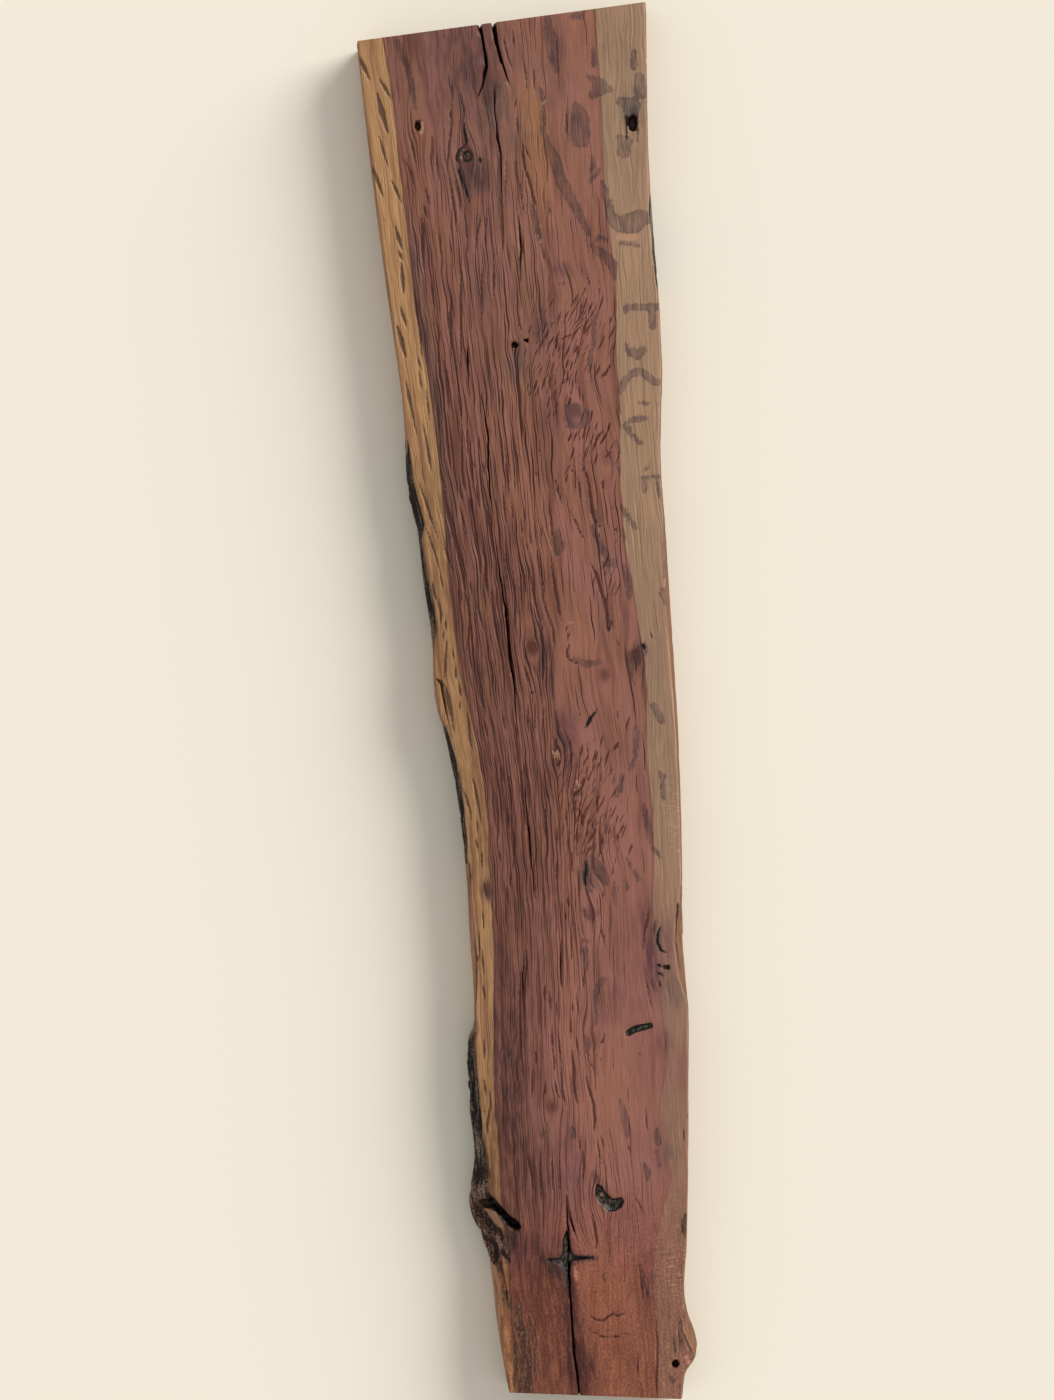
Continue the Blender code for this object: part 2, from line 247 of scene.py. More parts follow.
@dataclass(frozen=True)
class LiveEdge:
    """One long side of the slab, which keeps the outside of the log."""

    side: Side
    line: Points
    flare: Points
    bark: tuple[tuple[float, float, float], ...]  # stretches: from, to, depth of the furrows
    seed: float
    bare_furrow: float = 0.9
    bark_fade: float = 12.0
    thin_bark: float = 2.5  # stretches with shallower furrows keep no bark that shows
    ridge_pitch: float = 15.0
    ridge_wander: float = 1.3
    widest: float = 0.58  # of the thickness, face down
    crown: tuple[float, ...] = (18, 21, 24, 27, 30, 33, 36)  # depths where a ridge reaches the widest line
    back_inset: float = 0.35
    arris: float = 1.2

    def corners(self) -> tuple[float, float]:
        """Places along the slab where the two saw cuts meet this side."""
        return FOOT_CUT[self.side.value][1], HEAD_CUT[self.side.value][1]

    def wander(self, along: np.ndarray, down: np.ndarray) -> np.ndarray:
        """How far the ends of the bark lie off a straight line down the side, in millimetres.

        Args:
            along: Places along the slab.
            down: Depths below the face.

        Returns:
            Millimetres: a broad and a fine noise that slant down the side, none at the face.
        """
        slanted = along + 0.8 * down
        broad = lattice_noise(slanted / 34, (down - 0.15 * along) / 15, self.seed + 3)
        fine = lattice_noise(slanted / 10, down / 6, self.seed + 4)
        return (16 * broad + 7 * fine) * smooth(down, 0, 9)

    def bark_depth(self, along: np.ndarray, down: np.ndarray) -> np.ndarray:
        """Furrow depth: bark where a stretch keeps it, a faint ripple elsewhere.

        Args:
            along: Places along the slab.
            down: Depths below the face.

        Returns:
            Millimetres.
        """
        wander = self.wander(along, down)
        depth = np.full(wander.shape, self.bare_furrow)
        for start, end, furrow in self.bark:
            inside = smooth(np.minimum(along - start, end - along) + wander, 0, self.bark_fade)
            depth = depth + (furrow - self.bare_furrow) * inside
        return depth

    def bark_cover(self, along: np.ndarray, down: np.ndarray) -> np.ndarray:
        """How far a place lies inside the bark that is left, in millimetres, up to 12.

        Args:
            along: Places along the slab.
            down: Depths below the face.

        Returns:
            Millimetres, negative outside the bark.
        """
        stretches = [np.minimum(along - start, end - along) - 4 for start, end, furrow in self.bark
                     if furrow > self.thin_bark]
        inside = np.minimum(np.max(stretches, axis=0), 12) + self.wander(along, down)
        return np.maximum(inside, -FIELD_REACH)

    def furrows(self, along: np.ndarray, down: np.ndarray) -> np.ndarray:
        """Ridges that wander along the grain and break into plates: a cosine down the side, moved by noise.

        Args:
            along: Places along the slab.
            down: Depths below the face.

        Returns:
            0 on a ridge, 1 in a furrow.
        """
        wander = lattice_noise(along / 45, down / 40, self.seed)
        breaks = lattice_noise(along / 17, down / 11, self.seed + 1)
        fine = lattice_noise(along / 6, down / 4, self.seed + 2)
        ridge = np.cos(2 * math.pi * (down / self.ridge_pitch + self.ridge_wander * wander))
        return np.clip(0.5 - 0.42 * ridge + 0.45 * breaks + 0.15 * fine, 0, 1)

    def inset(self, along: np.ndarray, down: np.ndarray) -> np.ndarray:
        """How far the side stands in from its widest line: a round log side, its furrows and eased arrises.

        Args:
            along: Places along the slab.
            down: Depths below the face.

        Returns:
            Insets, of the two arrays' common shape.
        """
        level = np.clip(down / THICKNESS, 0, 1)
        places, widths = np.array(self.flare, float).T
        flare = np.interp(along, places, widths)
        above = flare * (1 - np.sin(math.pi / 2 * np.minimum(level / self.widest, 1)))
        below = (flare * self.back_inset + 1) * np.clip((level - self.widest) / (1 - self.widest), 0, 1) ** 2
        crests = np.min([self.furrows(along, np.full(down.shape, place)) for place in self.crown], axis=0)
        hollow = np.maximum(self.furrows(along, down) - crests, 0)
        relief = self.bark_depth(along, down) * hollow * np.sin(math.pi * level) ** 0.5
        edge = np.minimum(down, THICKNESS - down)
        round_off = 1 - np.clip(edge / self.arris, 0, 1)
        easing = self.arris * (1 - np.sqrt(1 - round_off**2))
        return above + below + relief + easing


LEFT_SIDE = LiveEdge(Side.LEFT, LEFT_EDGE, LEFT_FLARE, seed=3.1,
                     bark=((-594, -340, 7.0), (-158, -2, 3.0), (78, 300, 3.6)))
RIGHT_SIDE = LiveEdge(Side.RIGHT, RIGHT_EDGE, RIGHT_FLARE, seed=8.4,
                      bark=((-712, -650, 1.5), (-320, -200, 2.0), (440, 548, 2.9)))


@dataclass(frozen=True)
class Check:
    """A drying crack: a V-shaped groove that follows the grain."""

    route: Points  # (across, along), from the head down
    width: float
    depth: float
    open_head: bool = False
    open_foot: bool = False
    on_back: bool = False
    end_taper: float = 0.45
    steepness: float = 1.6

    def line(self, along: np.ndarray) -> np.ndarray:
        """Where the crack's middle runs: its route, with a small wander.

        Args:
            along: Places along the slab.

        Returns:
            Places across it.
        """
        across, places = np.array(self.route[::-1], float).T
        wander = 0.5 * lattice_noise(along / 11, np.zeros(along.shape), self.depth)
        return np.interp(along, places, across) + wander

    def opening(self, along: np.ndarray) -> np.ndarray:
        """How far open the crack is, from 0 to 1: it closes over its taper at a closed end.

        Args:
            along: Places along the slab.

        Returns:
            The share, at each place.
        """
        places = np.array(self.route[::-1], float)[:, 1]
        share = np.linspace(1, 0, len(places))
        fade = np.ones(len(places))
        for is_open, run in ((self.open_head, share), (self.open_foot, 1 - share)):
            if not is_open:
                fade = fade * np.sin(math.pi / 2 * np.clip(run / self.end_taper, 0, 1))
        return np.interp(along, places, fade, left=fade[0], right=fade[-1])

    def sink(self, across: np.ndarray, along: np.ndarray) -> np.ndarray:
        """Depth of the groove: 1 less the share of the half width, to the power of its steepness.

        Args:
            across: Places across the slab.
            along: Places along it.

        Returns:
            Millimetres.
        """
        opening = self.opening(along)
        ragged = 1 + 0.25 * lattice_noise(along / 7, np.zeros(along.shape), self.width + self.depth)
        half = np.maximum(self.width / 2 * opening * ragged, 0.05)
        inward = np.clip(1 - np.abs(across - self.line(along)) / half, 0, 1)
        return self.depth * opening * inward**self.steepness


@dataclass(frozen=True)
class Hole:
    """A knot hole or a borer's hole: an oval bowl."""

    across: float
    along: float
    width: float
    height: float
    depth: float

    def sink(self, across: np.ndarray, along: np.ndarray) -> np.ndarray:
        """Depth of the bowl: steep at its ragged rim, flat in its middle.

        Args:
            across: Places across the slab.
            along: Places along it.

        Returns:
            Millimetres.
        """
        x, y = (across - self.across) / (self.width / 2), (along - self.along) / (self.height / 2)
        rim = 1 + 0.12 * lattice_noise(across / 3, along / 3, self.width)
        return self.depth * smooth(rim - np.hypot(x, y), 0, 0.45)


def polygon_inside(corners: np.ndarray, across: np.ndarray, along: np.ndarray) -> np.ndarray:
    """Distance in from an outline, negative outside: the nearest side's, signed by crossing count.

    Args:
        corners: Rows of (across, along).
        across: Places across the slab.
        along: Places along it.

    Returns:
        Millimetres, positive inside.
    """
    nearest = np.full(across.shape, 1e9)
    crossed = np.zeros(across.shape, bool)
    for (ax, ay), (bx, by) in zip(corners, np.roll(corners, -1, axis=0)):
        dx, dy = bx - ax, by - ay
        t = np.clip(((across - ax) * dx + (along - ay) * dy) / (dx * dx + dy * dy), 0, 1)
        nearest = np.minimum(nearest, np.hypot(across - ax - t * dx, along - ay - t * dy))
        if dy:
            crossed ^= ((along > ay) != (along > by)) & (across < ax + (along - ay) * dx / dy)
    return np.where(crossed, nearest, -nearest)


@dataclass(frozen=True)
class Pocket:
    """A hollow of decayed or resinous wood, with an outline of its own."""

    shape: Points  # (across, along)
    depth: float
    slope: float = 2.5

    def inside(self, across: np.ndarray, along: np.ndarray) -> np.ndarray:
        """Distance in from the hollow's outline, in millimetres."""
        return polygon_inside(np.array(self.shape, float), across, along)

    def sink(self, across: np.ndarray, along: np.ndarray) -> np.ndarray:
        """Depth of the hollow: it slopes down from its outline, with a rough bottom."""
        rough = 1 + 0.15 * lattice_noise(across / 4, along / 4, self.depth)
        return self.depth * rough * smooth(self.inside(across, along), -0.3, self.slope)


@dataclass(frozen=True)
class Mark:
    """A mark on the face, placed in photo pixels."""

    tone: Tone
    path: tuple[float, ...]
    sink: float = 0.0

    def turns(self) -> np.ndarray:
        """The mark's points, as rows of (right, down) and what else its kind keeps for each."""
        return np.array(self.path, float).reshape(-1, 2)

    def near(self, across: np.ndarray, along: np.ndarray) -> np.ndarray:
        """True at the places that the mark can reach.

        Args:
            across: Places across the slab.
            along: Places along it.

        Returns:
            A truth value for each place.
        """
        low, high = (pick(photo_mm(self.turns()[:, :2])) for pick in (lambda p: p.min(0), lambda p: p.max(0)))
        low, high = low - NEAR_REACH, high + NEAR_REACH
        return (across > low[0]) & (across < high[0]) & (along > low[1]) & (along < high[1])


@dataclass(frozen=True)
class Stroke(Mark):
    """A mark drawn along a route of (right, down, width)."""

    def turns(self) -> np.ndarray:
        """Rows of (right, down, width)."""
        return np.array(self.path, float).reshape(-1, 3)

    def field(self, across: np.ndarray, along: np.ndarray) -> np.ndarray:
        """Distance in from the mark's edge: the half width there less the distance from its route.

        Args:
            across: Places across the slab.
            along: Places along it.

        Returns:
            Millimetres, positive inside.
        """
        nodes, halves = photo_mm(self.turns()[:, :2]), self.turns()[:, 2] * MM_PER_PX / 2
        best = np.full(across.shape, -FIELD_REACH)
        for (ax, ay), (bx, by), start, end in zip(nodes, nodes[1:], halves, halves[1:]):
            dx, dy = bx - ax, by - ay
            t = np.clip(((across - ax) * dx + (along - ay) * dy) / (dx * dx + dy * dy), 0, 1)
            gap = np.hypot(across - ax - t * dx, along - ay - t * dy)
            best = np.maximum(best, start + (end - start) * t - gap)
        return best


@dataclass(frozen=True)
class Patch(Mark):
    """A mark with an outline of (right, down) corners."""

    def field(self, across: np.ndarray, along: np.ndarray) -> np.ndarray:
        """Distance in from the outline, in millimetres."""
        return polygon_inside(photo_mm(self.turns()), across, along)


def flecks(sink: float, *rows: tuple[float, ...], tone: Tone = Tone.LINE) -> tuple[Stroke, ...]:
    """Makes strokes that taper to both ends.

    Args:
        sink: How deep they lie, in millimetres.
        *rows: Each one's greatest width, then (right, down) for each turn, in photo pixels.
        tone: What they are.

    Returns:
        The strokes.
    """
    made = []
    for width, *route in rows:
        turns = np.array(route, float).reshape(-1, 2)
        if len(turns) == 2:
            turns = np.array([turns[0], turns.mean(0), turns[1]])
        share = np.full(len(turns), 1.0)
        share[[0, -1]] = TIP_SHARE
        path = np.column_stack([turns, (width + SPREAD_PX) * share]).ravel()
        made.append(Stroke(tone, tuple(path.tolist()), sink))
    return tuple(made)


@dataclass(frozen=True)
class Blob:
    """A soft patch that changes the wood's colour, in photo pixels."""

    cast: Cast
    centre: tuple[float, float]
    radii: tuple[float, float]
    amount: float
    lean: float = 0.0  # degrees, clockwise in the photograph

    def weight(self, across: np.ndarray, along: np.ndarray) -> np.ndarray:
        """The patch's strength: a bell that falls away from its middle, broken by noise.

        Args:
            across: Places across the slab.
            along: Places along it.

        Returns:
            The weight, at most the patch's amount but for the noise.
        """
        (x, y), = photo_mm((self.centre,))
        turn = math.radians(self.lean)
        dx, dy = across - x, along - y
        sideways = (dx * math.cos(turn) - dy * math.sin(turn)) / (self.radii[0] * MM_PER_PX)
        lengthways = (dy * math.cos(turn) + dx * math.sin(turn)) / (self.radii[1] * MM_PER_PX)
        uneven = 1 + 0.35 * lattice_noise(across / 7, along / 22, self.radii[0])
        return self.amount * uneven * np.exp(-((sideways**2 + lengthways**2) ** 1.5))


@dataclass(frozen=True)
class Lean:
    """A stretch of the face where the figure leans over, in photo pixels."""

    centre: tuple[float, float]
    radii: tuple[float, float]
    slope: float  # sideways over lengthways, positive where the flecks rise to the right

    def shift(self, across: np.ndarray, along: np.ndarray) -> np.ndarray:
        """How far the grain moves aside: the slope times the way along, within a bell.

        Args:
            across: Places across the slab.
            along: Places along it.

        Returns:
            Millimetres.
        """
        (x, y), = photo_mm((self.centre,))
        bell = np.exp(-(((across - x) / (self.radii[0] * MM_PER_PX)) ** 2
                        + ((along - y) / (self.radii[1] * MM_PER_PX)) ** 2) ** 2)
        return self.slope * (along - y) * bell


@dataclass(frozen=True)
class Knot:
    """A small sound knot, in photo pixels: the grain runs round it."""

    centre: tuple[float, float]
    radius: float
    dark: float = 0.6

    def place(self) -> tuple[float, float, float]:
        """Its middle and radius in millimetres."""
        (x, y), = photo_mm((self.centre,))
        return float(x), float(y), self.radius * MM_PER_PX


CHECKS = (
    Check(((-24, 760), (-23, 736), (-20, 718), (-19, 692), (-24, 672), (-31, 658)), 3.6, 20, open_head=True),
    Check(((-10, 764), (-9, 738), (-7, 720), (-3, 700), (5, 670)), 4.2, 26, open_head=True),
    Check(((-13, 674), (-13, 645), (-12, 615), (-10, 596), (-12, 545)), 2.6, 10),
    Check(((5, 535), (5, 504), (3, 470)), 2.6, 6),
    Check(((-59, 400), (-60, 380), (-61, 352)), 2.6, 6),
    Check(((-50, 358), (-47, 330), (-44, 296), (-46, 262), (-46, 232), (-43, 200)), 2.6, 9),
    Check(((-44, 190), (-42, 150), (-38, 108), (-37, 62), (-34, 22), (-35, -30)), 3.2, 12),
    Check(((-31, -55), (-30, -109), (-29, -155), (-28, -212)), 2.2, 7),
    Check(((-42, -255), (-47, -290), (-49, -330)), 2.2, 6),
    Check(((-4, -258), (-5, -280), (-6, -302)), 2.2, 5),
    Check(((-16, -520), (-16, -545), (-18, -590), (-19, -640), (-19, -690), (-16, -738), (-14, -765)),
          2.7, 16, open_foot=True),
    Check(((-15, -536), (-11, -556), (-5, -580)), 2.4, 6),
    Check(((-97, -560), (-93, -575), (-90, -600), (-86, -634)), 6, 7),
    Check(((-119, 44), (-113, 34), (-110, 10), (-107, -10)), 6, 5),
    Check(((-40, 760), (-38, 700), (-30, 640), (-31, 590)), 3.4, 16, open_head=True, on_back=True),
    Check(((-20, 240), (-14, 130), (-16, 20), (-10, -90)), 2.6, 8, on_back=True),
    Check(((6, -560), (2, -640), (4, -700), (2, -768)), 3.4, 16, open_foot=True, on_back=True),
)
HOLES = (
    Hole(-97, 634, 8, 12, 9),
    Hole(-49, 598, 9, 9, 2),
    Hole(134, 621, 12, 22, 12),
    Hole(-9, 392, 7, 7, 11),
    Hole(4, 396, 4.5, 4.5, 9),
    Hole(89, -712, 9, 9, 11),
    Hole(108, -286, 10, 6, 4),
)
RESIN_POCKET = Pocket((
    (18, -512), (23, -516), (28, -525), (34, -530), (43, -529), (46, -533), (43, -540), (35, -544),
    (28, -544), (22, -537), (16, -528), (15, -520),
), 4)
RESIN_SLOT = Pocket((
    (60, -357), (59, -353), (63, -349), (70, -346), (86, -344), (90, -346), (89, -350), (81, -352),
    (70, -354), (64, -357),
), 3)
DECAY_CROSS = Pocket((
    (-18, -559), (-15.6, -571), (-14.3, -583), (-11.4, -588.5), (9, -590.5), (9.6, -593), (-6.2, -593.6),
    (-15, -594.6), (-16.6, -603), (-19.4, -613.6), (-21.8, -617.8), (-23.4, -609), (-25, -600.5),
    (-28, -596), (-40.6, -592), (-40.4, -588.8), (-27.6, -589.6), (-24, -583.4), (-23.2, -570.6),
), 2.6, slope=2)
BRANCH_VOID = Pocket((
    (-99.5, -517), (-95.8, -518.8), (-91.5, -523.9), (-87.4, -529.6), (-82.4, -535.3), (-77.5, -541.6),
    (-72.6, -545), (-68.8, -548), (-66.9, -552.5), (-69.4, -556.7), (-74.7, -556.5), (-79.2, -552.8),
    (-82.8, -547.2), (-87, -540.8), (-92, -535.8), (-96, -530), (-99.8, -523.4),
), 16, slope=3)
POCKETS = (RESIN_POCKET, RESIN_SLOT, DECAY_CROSS, BRANCH_VOID)

SAPWOOD_DASHES = flecks(
    0.8,
    (4, 358, 54, 370, 80), (3.5, 379, 78, 391, 98), (6, 377, 93, 382, 112, 388, 133),
    (2.5, 379, 136, 388, 167), (4, 372, 166, 383, 196), (3, 392, 181, 402, 203), (1.5, 382, 220, 387, 220),
    (4, 395, 226, 402, 249), (3.5, 398, 251, 403, 260), (4, 401.5, 263, 404, 294), (3, 400, 306, 407, 327),
    (3, 414, 288, 419, 329), (5, 397, 325, 406, 357), (2, 419, 320, 422, 357), (2, 418, 358, 421, 370),
    (1.8, 419, 372, 422, 390), (3, 406, 382, 409, 396, 417, 435), (1.8, 426, 389, 430, 421),
    (2, 423, 424, 430, 459), (2.5, 426, 440, 432, 473), (2.2, 418, 479, 426, 502, 431, 519, 439, 540),
    (2.2, 425, 525, 433, 547, 441, 574), (2, 443, 542, 453, 572), (2.5, 432.5, 582, 434, 592, 436, 600),
    (1.6, 440, 572, 442, 582, 443, 590), (2.2, 438, 600, 440, 608, 441.5, 614, 440.5, 624),
    (2.5, 446, 620, 446, 630), (1.6, 444, 632, 443, 640), (2.5, 437, 620, 436, 630, 436, 637),
    (1.7, 447, 640, 446, 655, 445.5, 668, 444, 680), (1.6, 452, 648, 454, 658),
    (2.2, 455.5, 668, 455.5, 680), (2.2, 458.5, 682, 460, 690, 461, 697), (1.4, 460, 700, 460, 710),
    (1.8, 467, 712, 469, 725, 470, 740, 472, 748), (3, 436, 679, 441, 682, 446, 688),
    (4, 446, 688, 448, 697, 450, 708, 453, 722), (1.6, 452, 722, 454, 732),
    (1.8, 473, 778, 476, 792, 479, 808, 481, 822), (1.8, 461, 785, 466, 797, 470, 810, 472, 823),
    (1.5, 477, 820, 478, 835), (2, 476, 840, 478, 850), (1.6, 482, 850, 482, 868),
    (2, 469.5, 862, 470.5, 878, 470, 890), (2.2, 473, 915, 475, 940, 477, 960, 476.5, 985, 476, 1008),
    (1.6, 479, 930, 480, 960), (1.6, 483, 910, 484, 930), (1.6, 482, 950, 484, 975),
    (2, 483, 985, 485, 1000), (1.8, 484, 1040, 484.5, 1060), (2, 484, 1080, 486, 1095),
    (1.8, 490, 1090, 491, 1105, 487, 1125, 488, 1135), (1.6, 484, 1110, 486, 1115),
    (3, 484, 1140, 487, 1160, 490, 1178), (3, 484, 884, 485.5, 892, 487, 898),
)
HEART_FLECKS = flecks(
    0.45,
    # Left of the heart, from the head down.
    (1.8, 452, 103, 452, 125, 450, 140, 448, 160, 448, 172), (2.4, 450, 178, 453, 200, 455, 215, 458, 235),
    (1.6, 450, 110, 450, 125), (1.8, 464, 105, 464, 120), (2, 455, 180, 458, 192, 460, 200, 460, 210),
    (1.8, 464, 205, 466, 222, 467, 235, 468, 255), (1.8, 437, 150, 437, 165, 439, 180),
    (2.4, 425, 188, 429, 200, 430, 206), (3, 424, 205, 427, 218),
    (3, 421, 217, 423, 228, 423, 250, 424, 270), (2, 404, 160, 411, 172, 413, 182, 416, 190),
    (2.5, 411, 140, 413, 150, 416, 165), (2.2, 439, 226, 441, 256),
    (1.6, 480, 205, 480, 222, 477, 235, 476, 250), (1.6, 487, 205, 485, 245), (1.6, 450, 240, 451, 258),
    (2.2, 431, 275, 434, 308), (2.4, 436, 320, 439, 333, 438, 363), (2, 451, 287, 451, 356),
    (2.4, 461, 258, 461, 368), (2.4, 468, 350, 468, 375), (2, 482, 259, 482, 328),
    (2.2, 494, 248, 494, 308), (3, 444, 361, 447, 382, 449, 409), (2.4, 437, 400, 439, 432),
    (2.6, 446, 414, 447, 440, 449, 455, 451, 470), (2.4, 458, 382, 461, 418), (1.8, 452, 80, 453, 100),
    (2.2, 462, 425, 462, 455, 462, 470, 464, 485, 466, 492), (1.8, 467, 425, 468, 455),
    (4, 443, 490, 448, 512, 453, 530, 458, 550, 463, 572, 465, 590), (1.6, 440, 471, 447, 492),
    (2.2, 459, 480, 461, 495, 463, 502), (2.2, 460, 506, 463, 520, 467, 535), (1.8, 479, 438, 479, 452),
    (1.6, 474, 460, 475, 470), (2, 472, 468, 473, 482), (2.4, 476, 485, 478, 498, 480, 510),
    (2, 470, 498, 472, 515), (1.8, 483, 460, 484, 475), (2.2, 486, 500, 488, 512, 490, 530, 494, 555),
    (2.6, 474, 530, 477, 548, 480, 560, 481, 575), (2.4, 482, 550, 486, 562, 485, 580, 487, 592),
    (1.8, 505, 440, 507, 460, 508, 478, 511, 495), (2, 516, 445, 517, 458, 518, 468),
    (1.7, 503, 485, 504, 505, 506, 520, 508, 535), (1.6, 514, 480, 516, 492), (1.6, 512, 500, 513, 520),
    (2, 504, 550, 505, 562, 507, 580, 510, 600), (2, 524, 508, 525, 522), (1.8, 521, 520, 523, 535),
    (1.8, 526, 540, 528, 552), (2, 529, 528, 531, 545), (1.8, 539, 440, 540, 460),
    (1.7, 536, 465, 537, 482), (2, 539, 518, 541, 532, 542, 545),
    (1.8, 537, 548, 538, 560, 541, 580, 543, 600), (2, 513, 570, 515, 590, 518, 615),
    (1.9, 520, 560, 521, 585, 522, 615), (1.6, 524, 570, 526, 595),
    (2.2, 529, 565, 532, 585, 536, 605, 540, 620, 544, 635), (2, 470, 580, 472, 595),
    (2.2, 476, 600, 480, 615, 484, 632), (1.8, 464, 585, 467, 600, 470, 615, 469, 635, 465, 655),
    (2.2, 491, 588, 493, 605, 495, 625, 498, 640), (1.7, 552, 625, 554, 640, 554, 650),
    (3, 524, 665, 527, 675, 531, 690), (1.8, 533, 665, 536, 675), (1.6, 545, 662, 543, 675, 545, 690),
    (2.2, 528, 705, 528, 735), (1.8, 535, 700, 535, 735), (2, 544, 705, 543, 725, 542, 740),
    (2, 502, 710, 505, 730), (2.6, 484, 720, 488, 738), (1.8, 491, 718, 495, 735),
    (1.6, 480, 695, 485, 712), (2.4, 523, 762, 527, 780, 529, 800, 530, 815),
    (2.6, 524, 815, 529, 830, 530, 850, 531, 870), (2.2, 521, 770, 522, 795, 525, 815),
    (2, 502, 765, 503, 782), (2.2, 496, 795, 498, 815, 499, 835), (2, 509, 775, 511, 795, 512, 812),
    (2, 507, 808, 509, 830), (2, 513, 828, 514, 850, 513, 870), (2.4, 534, 856, 534, 880, 536, 900),
    (2, 499, 850, 501, 862), (2, 511, 870, 510, 888), (2, 507, 885, 508, 905), (1.8, 546, 800, 546, 830),
    (2, 526, 950, 527, 965, 524, 985, 524, 1010, 526, 1040),
    (2.2, 521, 970, 520, 1000, 521, 1050, 524, 1080), (1.8, 536, 1050, 536, 1065),
    (1.8, 533, 1070, 532, 1100), (1.8, 546, 1080, 545, 1092, 543, 1098),
    (2, 553, 1050, 555, 1062, 554, 1072), (1.7, 555, 1080, 557, 1092, 561, 1100),
    (2, 562, 1060, 562, 1085, 563, 1095, 567, 1107),
    (2.6, 572, 1050, 574, 1070, 574, 1080, 575, 1092, 578, 1105), (1.8, 588, 1060, 592, 1065, 595, 1072),
    (2.4, 586, 1075, 589, 1088, 592, 1098, 594, 1105, 595, 1120, 594, 1132),
    (2, 516, 1060, 517, 1080, 514, 1090), (2.4, 527, 1153, 529, 1162, 532, 1175, 533, 1190),
    (1.6, 597, 1140, 599, 1150, 601, 1165), (1.7, 601, 1135, 604, 1148),
    (2, 583, 1150, 584, 1165, 583, 1180), (1.7, 580, 1140, 580, 1152),
    (2.8, 567, 1195, 568, 1208, 571, 1220, 575, 1232), (2.6, 593, 1215, 595, 1228, 597, 1240, 596, 1248),
    (2, 505, 1095, 503, 1104), (1.8, 540, 1150, 541, 1200), (1.8, 552, 1150, 553, 1190),
    (1.6, 560, 1160, 560, 1200),
    # Right of the heart, from the head down.
    (1.8, 503, 30, 505, 45, 509, 60, 513, 70), (1.6, 513, 28, 514, 50), (1.8, 522, 55, 525, 70, 527, 90),
    (2, 534, 69, 534.5, 90), (1.6, 517, 98, 514, 110), (2.2, 566.5, 108, 567, 144),
    (1.6, 517, 118, 519, 140), (2.4, 523, 143, 523, 155, 525, 168, 529, 180, 534, 200, 537, 210),
    (1.8, 525, 145, 530, 160), (2, 519, 178, 521, 192, 523, 205, 523, 218),
    (2.2, 519, 222, 521, 240, 522, 250, 520, 262, 521, 285),
    (2, 500, 145, 500, 160, 501, 185, 502, 210, 503, 230, 503, 255), (1.6, 506, 160, 506, 205),
    (2, 541, 243, 544, 255, 545, 262), (1.6, 548, 200, 551, 216), (2, 585, 274, 589, 281, 590, 287),
    (2, 599, 288, 600, 295), (1.8, 583, 300, 579, 318), (1.8, 592, 302, 588, 315),
    (1.8, 579, 345, 575, 353), (1.6, 578, 348, 577, 358), (1.6, 586, 325, 583, 335),
    (2, 560, 330, 557, 340, 555, 352), (1.6, 563, 362, 564, 372), (1.8, 560, 385, 570, 378),
    (1.8, 550, 373, 549, 392), (3, 611, 364, 606, 373, 600, 379), (1.8, 549, 328, 541, 345, 533, 358),
    (1.8, 560, 340, 575, 333), (1.8, 557, 308, 565, 307), (2.4, 604, 430, 601, 433, 596, 440, 594, 450),
    (2, 604, 452, 613, 452),
    (2.6, 582, 465, 587, 475, 589, 485, 591, 500, 592, 512, 595, 522, 599, 526, 605, 523),
    (1.8, 568, 465, 574, 473, 579, 483, 580, 495, 582, 503), (3, 555, 478, 558, 490, 563, 506),
    (1.8, 549, 505, 551, 515, 552, 530, 553, 545, 555, 553), (2, 570, 510, 575, 520, 580, 532, 585, 542),
    (2.6, 551, 553, 554, 580, 557, 597, 559, 610, 561, 622), (2, 603, 478, 603, 493),
    (2, 614, 528, 616, 532, 618, 526), (1.8, 541, 575, 543, 595, 546, 610, 551, 622, 554, 635, 555, 650),
    (3.4, 590, 562, 597, 575, 601, 590, 605, 602, 607, 615, 608, 632), (2, 611, 618, 613, 630),
    (2, 573, 631, 568, 635, 567, 643), (2.2, 570, 644, 567, 651, 568, 658, 573, 662, 580, 664),
    (1.8, 575, 624, 567, 626, 566, 632), (2, 615, 637, 618, 643, 620, 648),
    (2.4, 650, 632, 652, 637, 656, 638), (1.8, 630, 716, 627, 725, 626, 735), (1.6, 618, 710, 618, 720),
    (2, 583, 742, 580, 758), (1.8, 588, 745, 588, 765), (1.8, 598, 750, 595, 762),
    (1.8, 603, 735, 600, 748), (2, 591, 772, 588, 783), (2, 585, 775, 582, 790), (1.7, 602, 772, 601, 782),
    (1.8, 611, 765, 612, 776), (2.4, 598, 790, 597, 802, 598, 815), (2, 594, 822, 592, 832),
    (2.4, 588, 829, 586, 838), (2.4, 583, 815, 582, 828), (3, 604, 836, 601, 846),
    (2, 579, 800, 580, 812, 579, 818), (1.7, 575, 800, 577, 815), (1.8, 566, 808, 566, 818, 568, 830),
    (2, 557, 826, 557, 846), (1.8, 568, 835, 569, 855), (1.8, 577, 828, 578, 845),
    (1.8, 572, 850, 572, 872), (1.8, 557, 860, 556, 880), (2, 618, 830, 618, 845),
    (3.6, 612, 752, 616, 747, 619, 742), (2, 579, 868, 579, 900), (2.4, 568, 896, 569, 908),
    (2.2, 565, 912, 566, 920), (1.8, 571, 920, 572, 960), (2.2, 561, 938, 561, 960, 561, 988),
    (1.8, 576, 992, 578, 1005, 579, 1018), (2, 573, 1002, 573, 1012), (1.8, 571, 1017, 571, 1040),
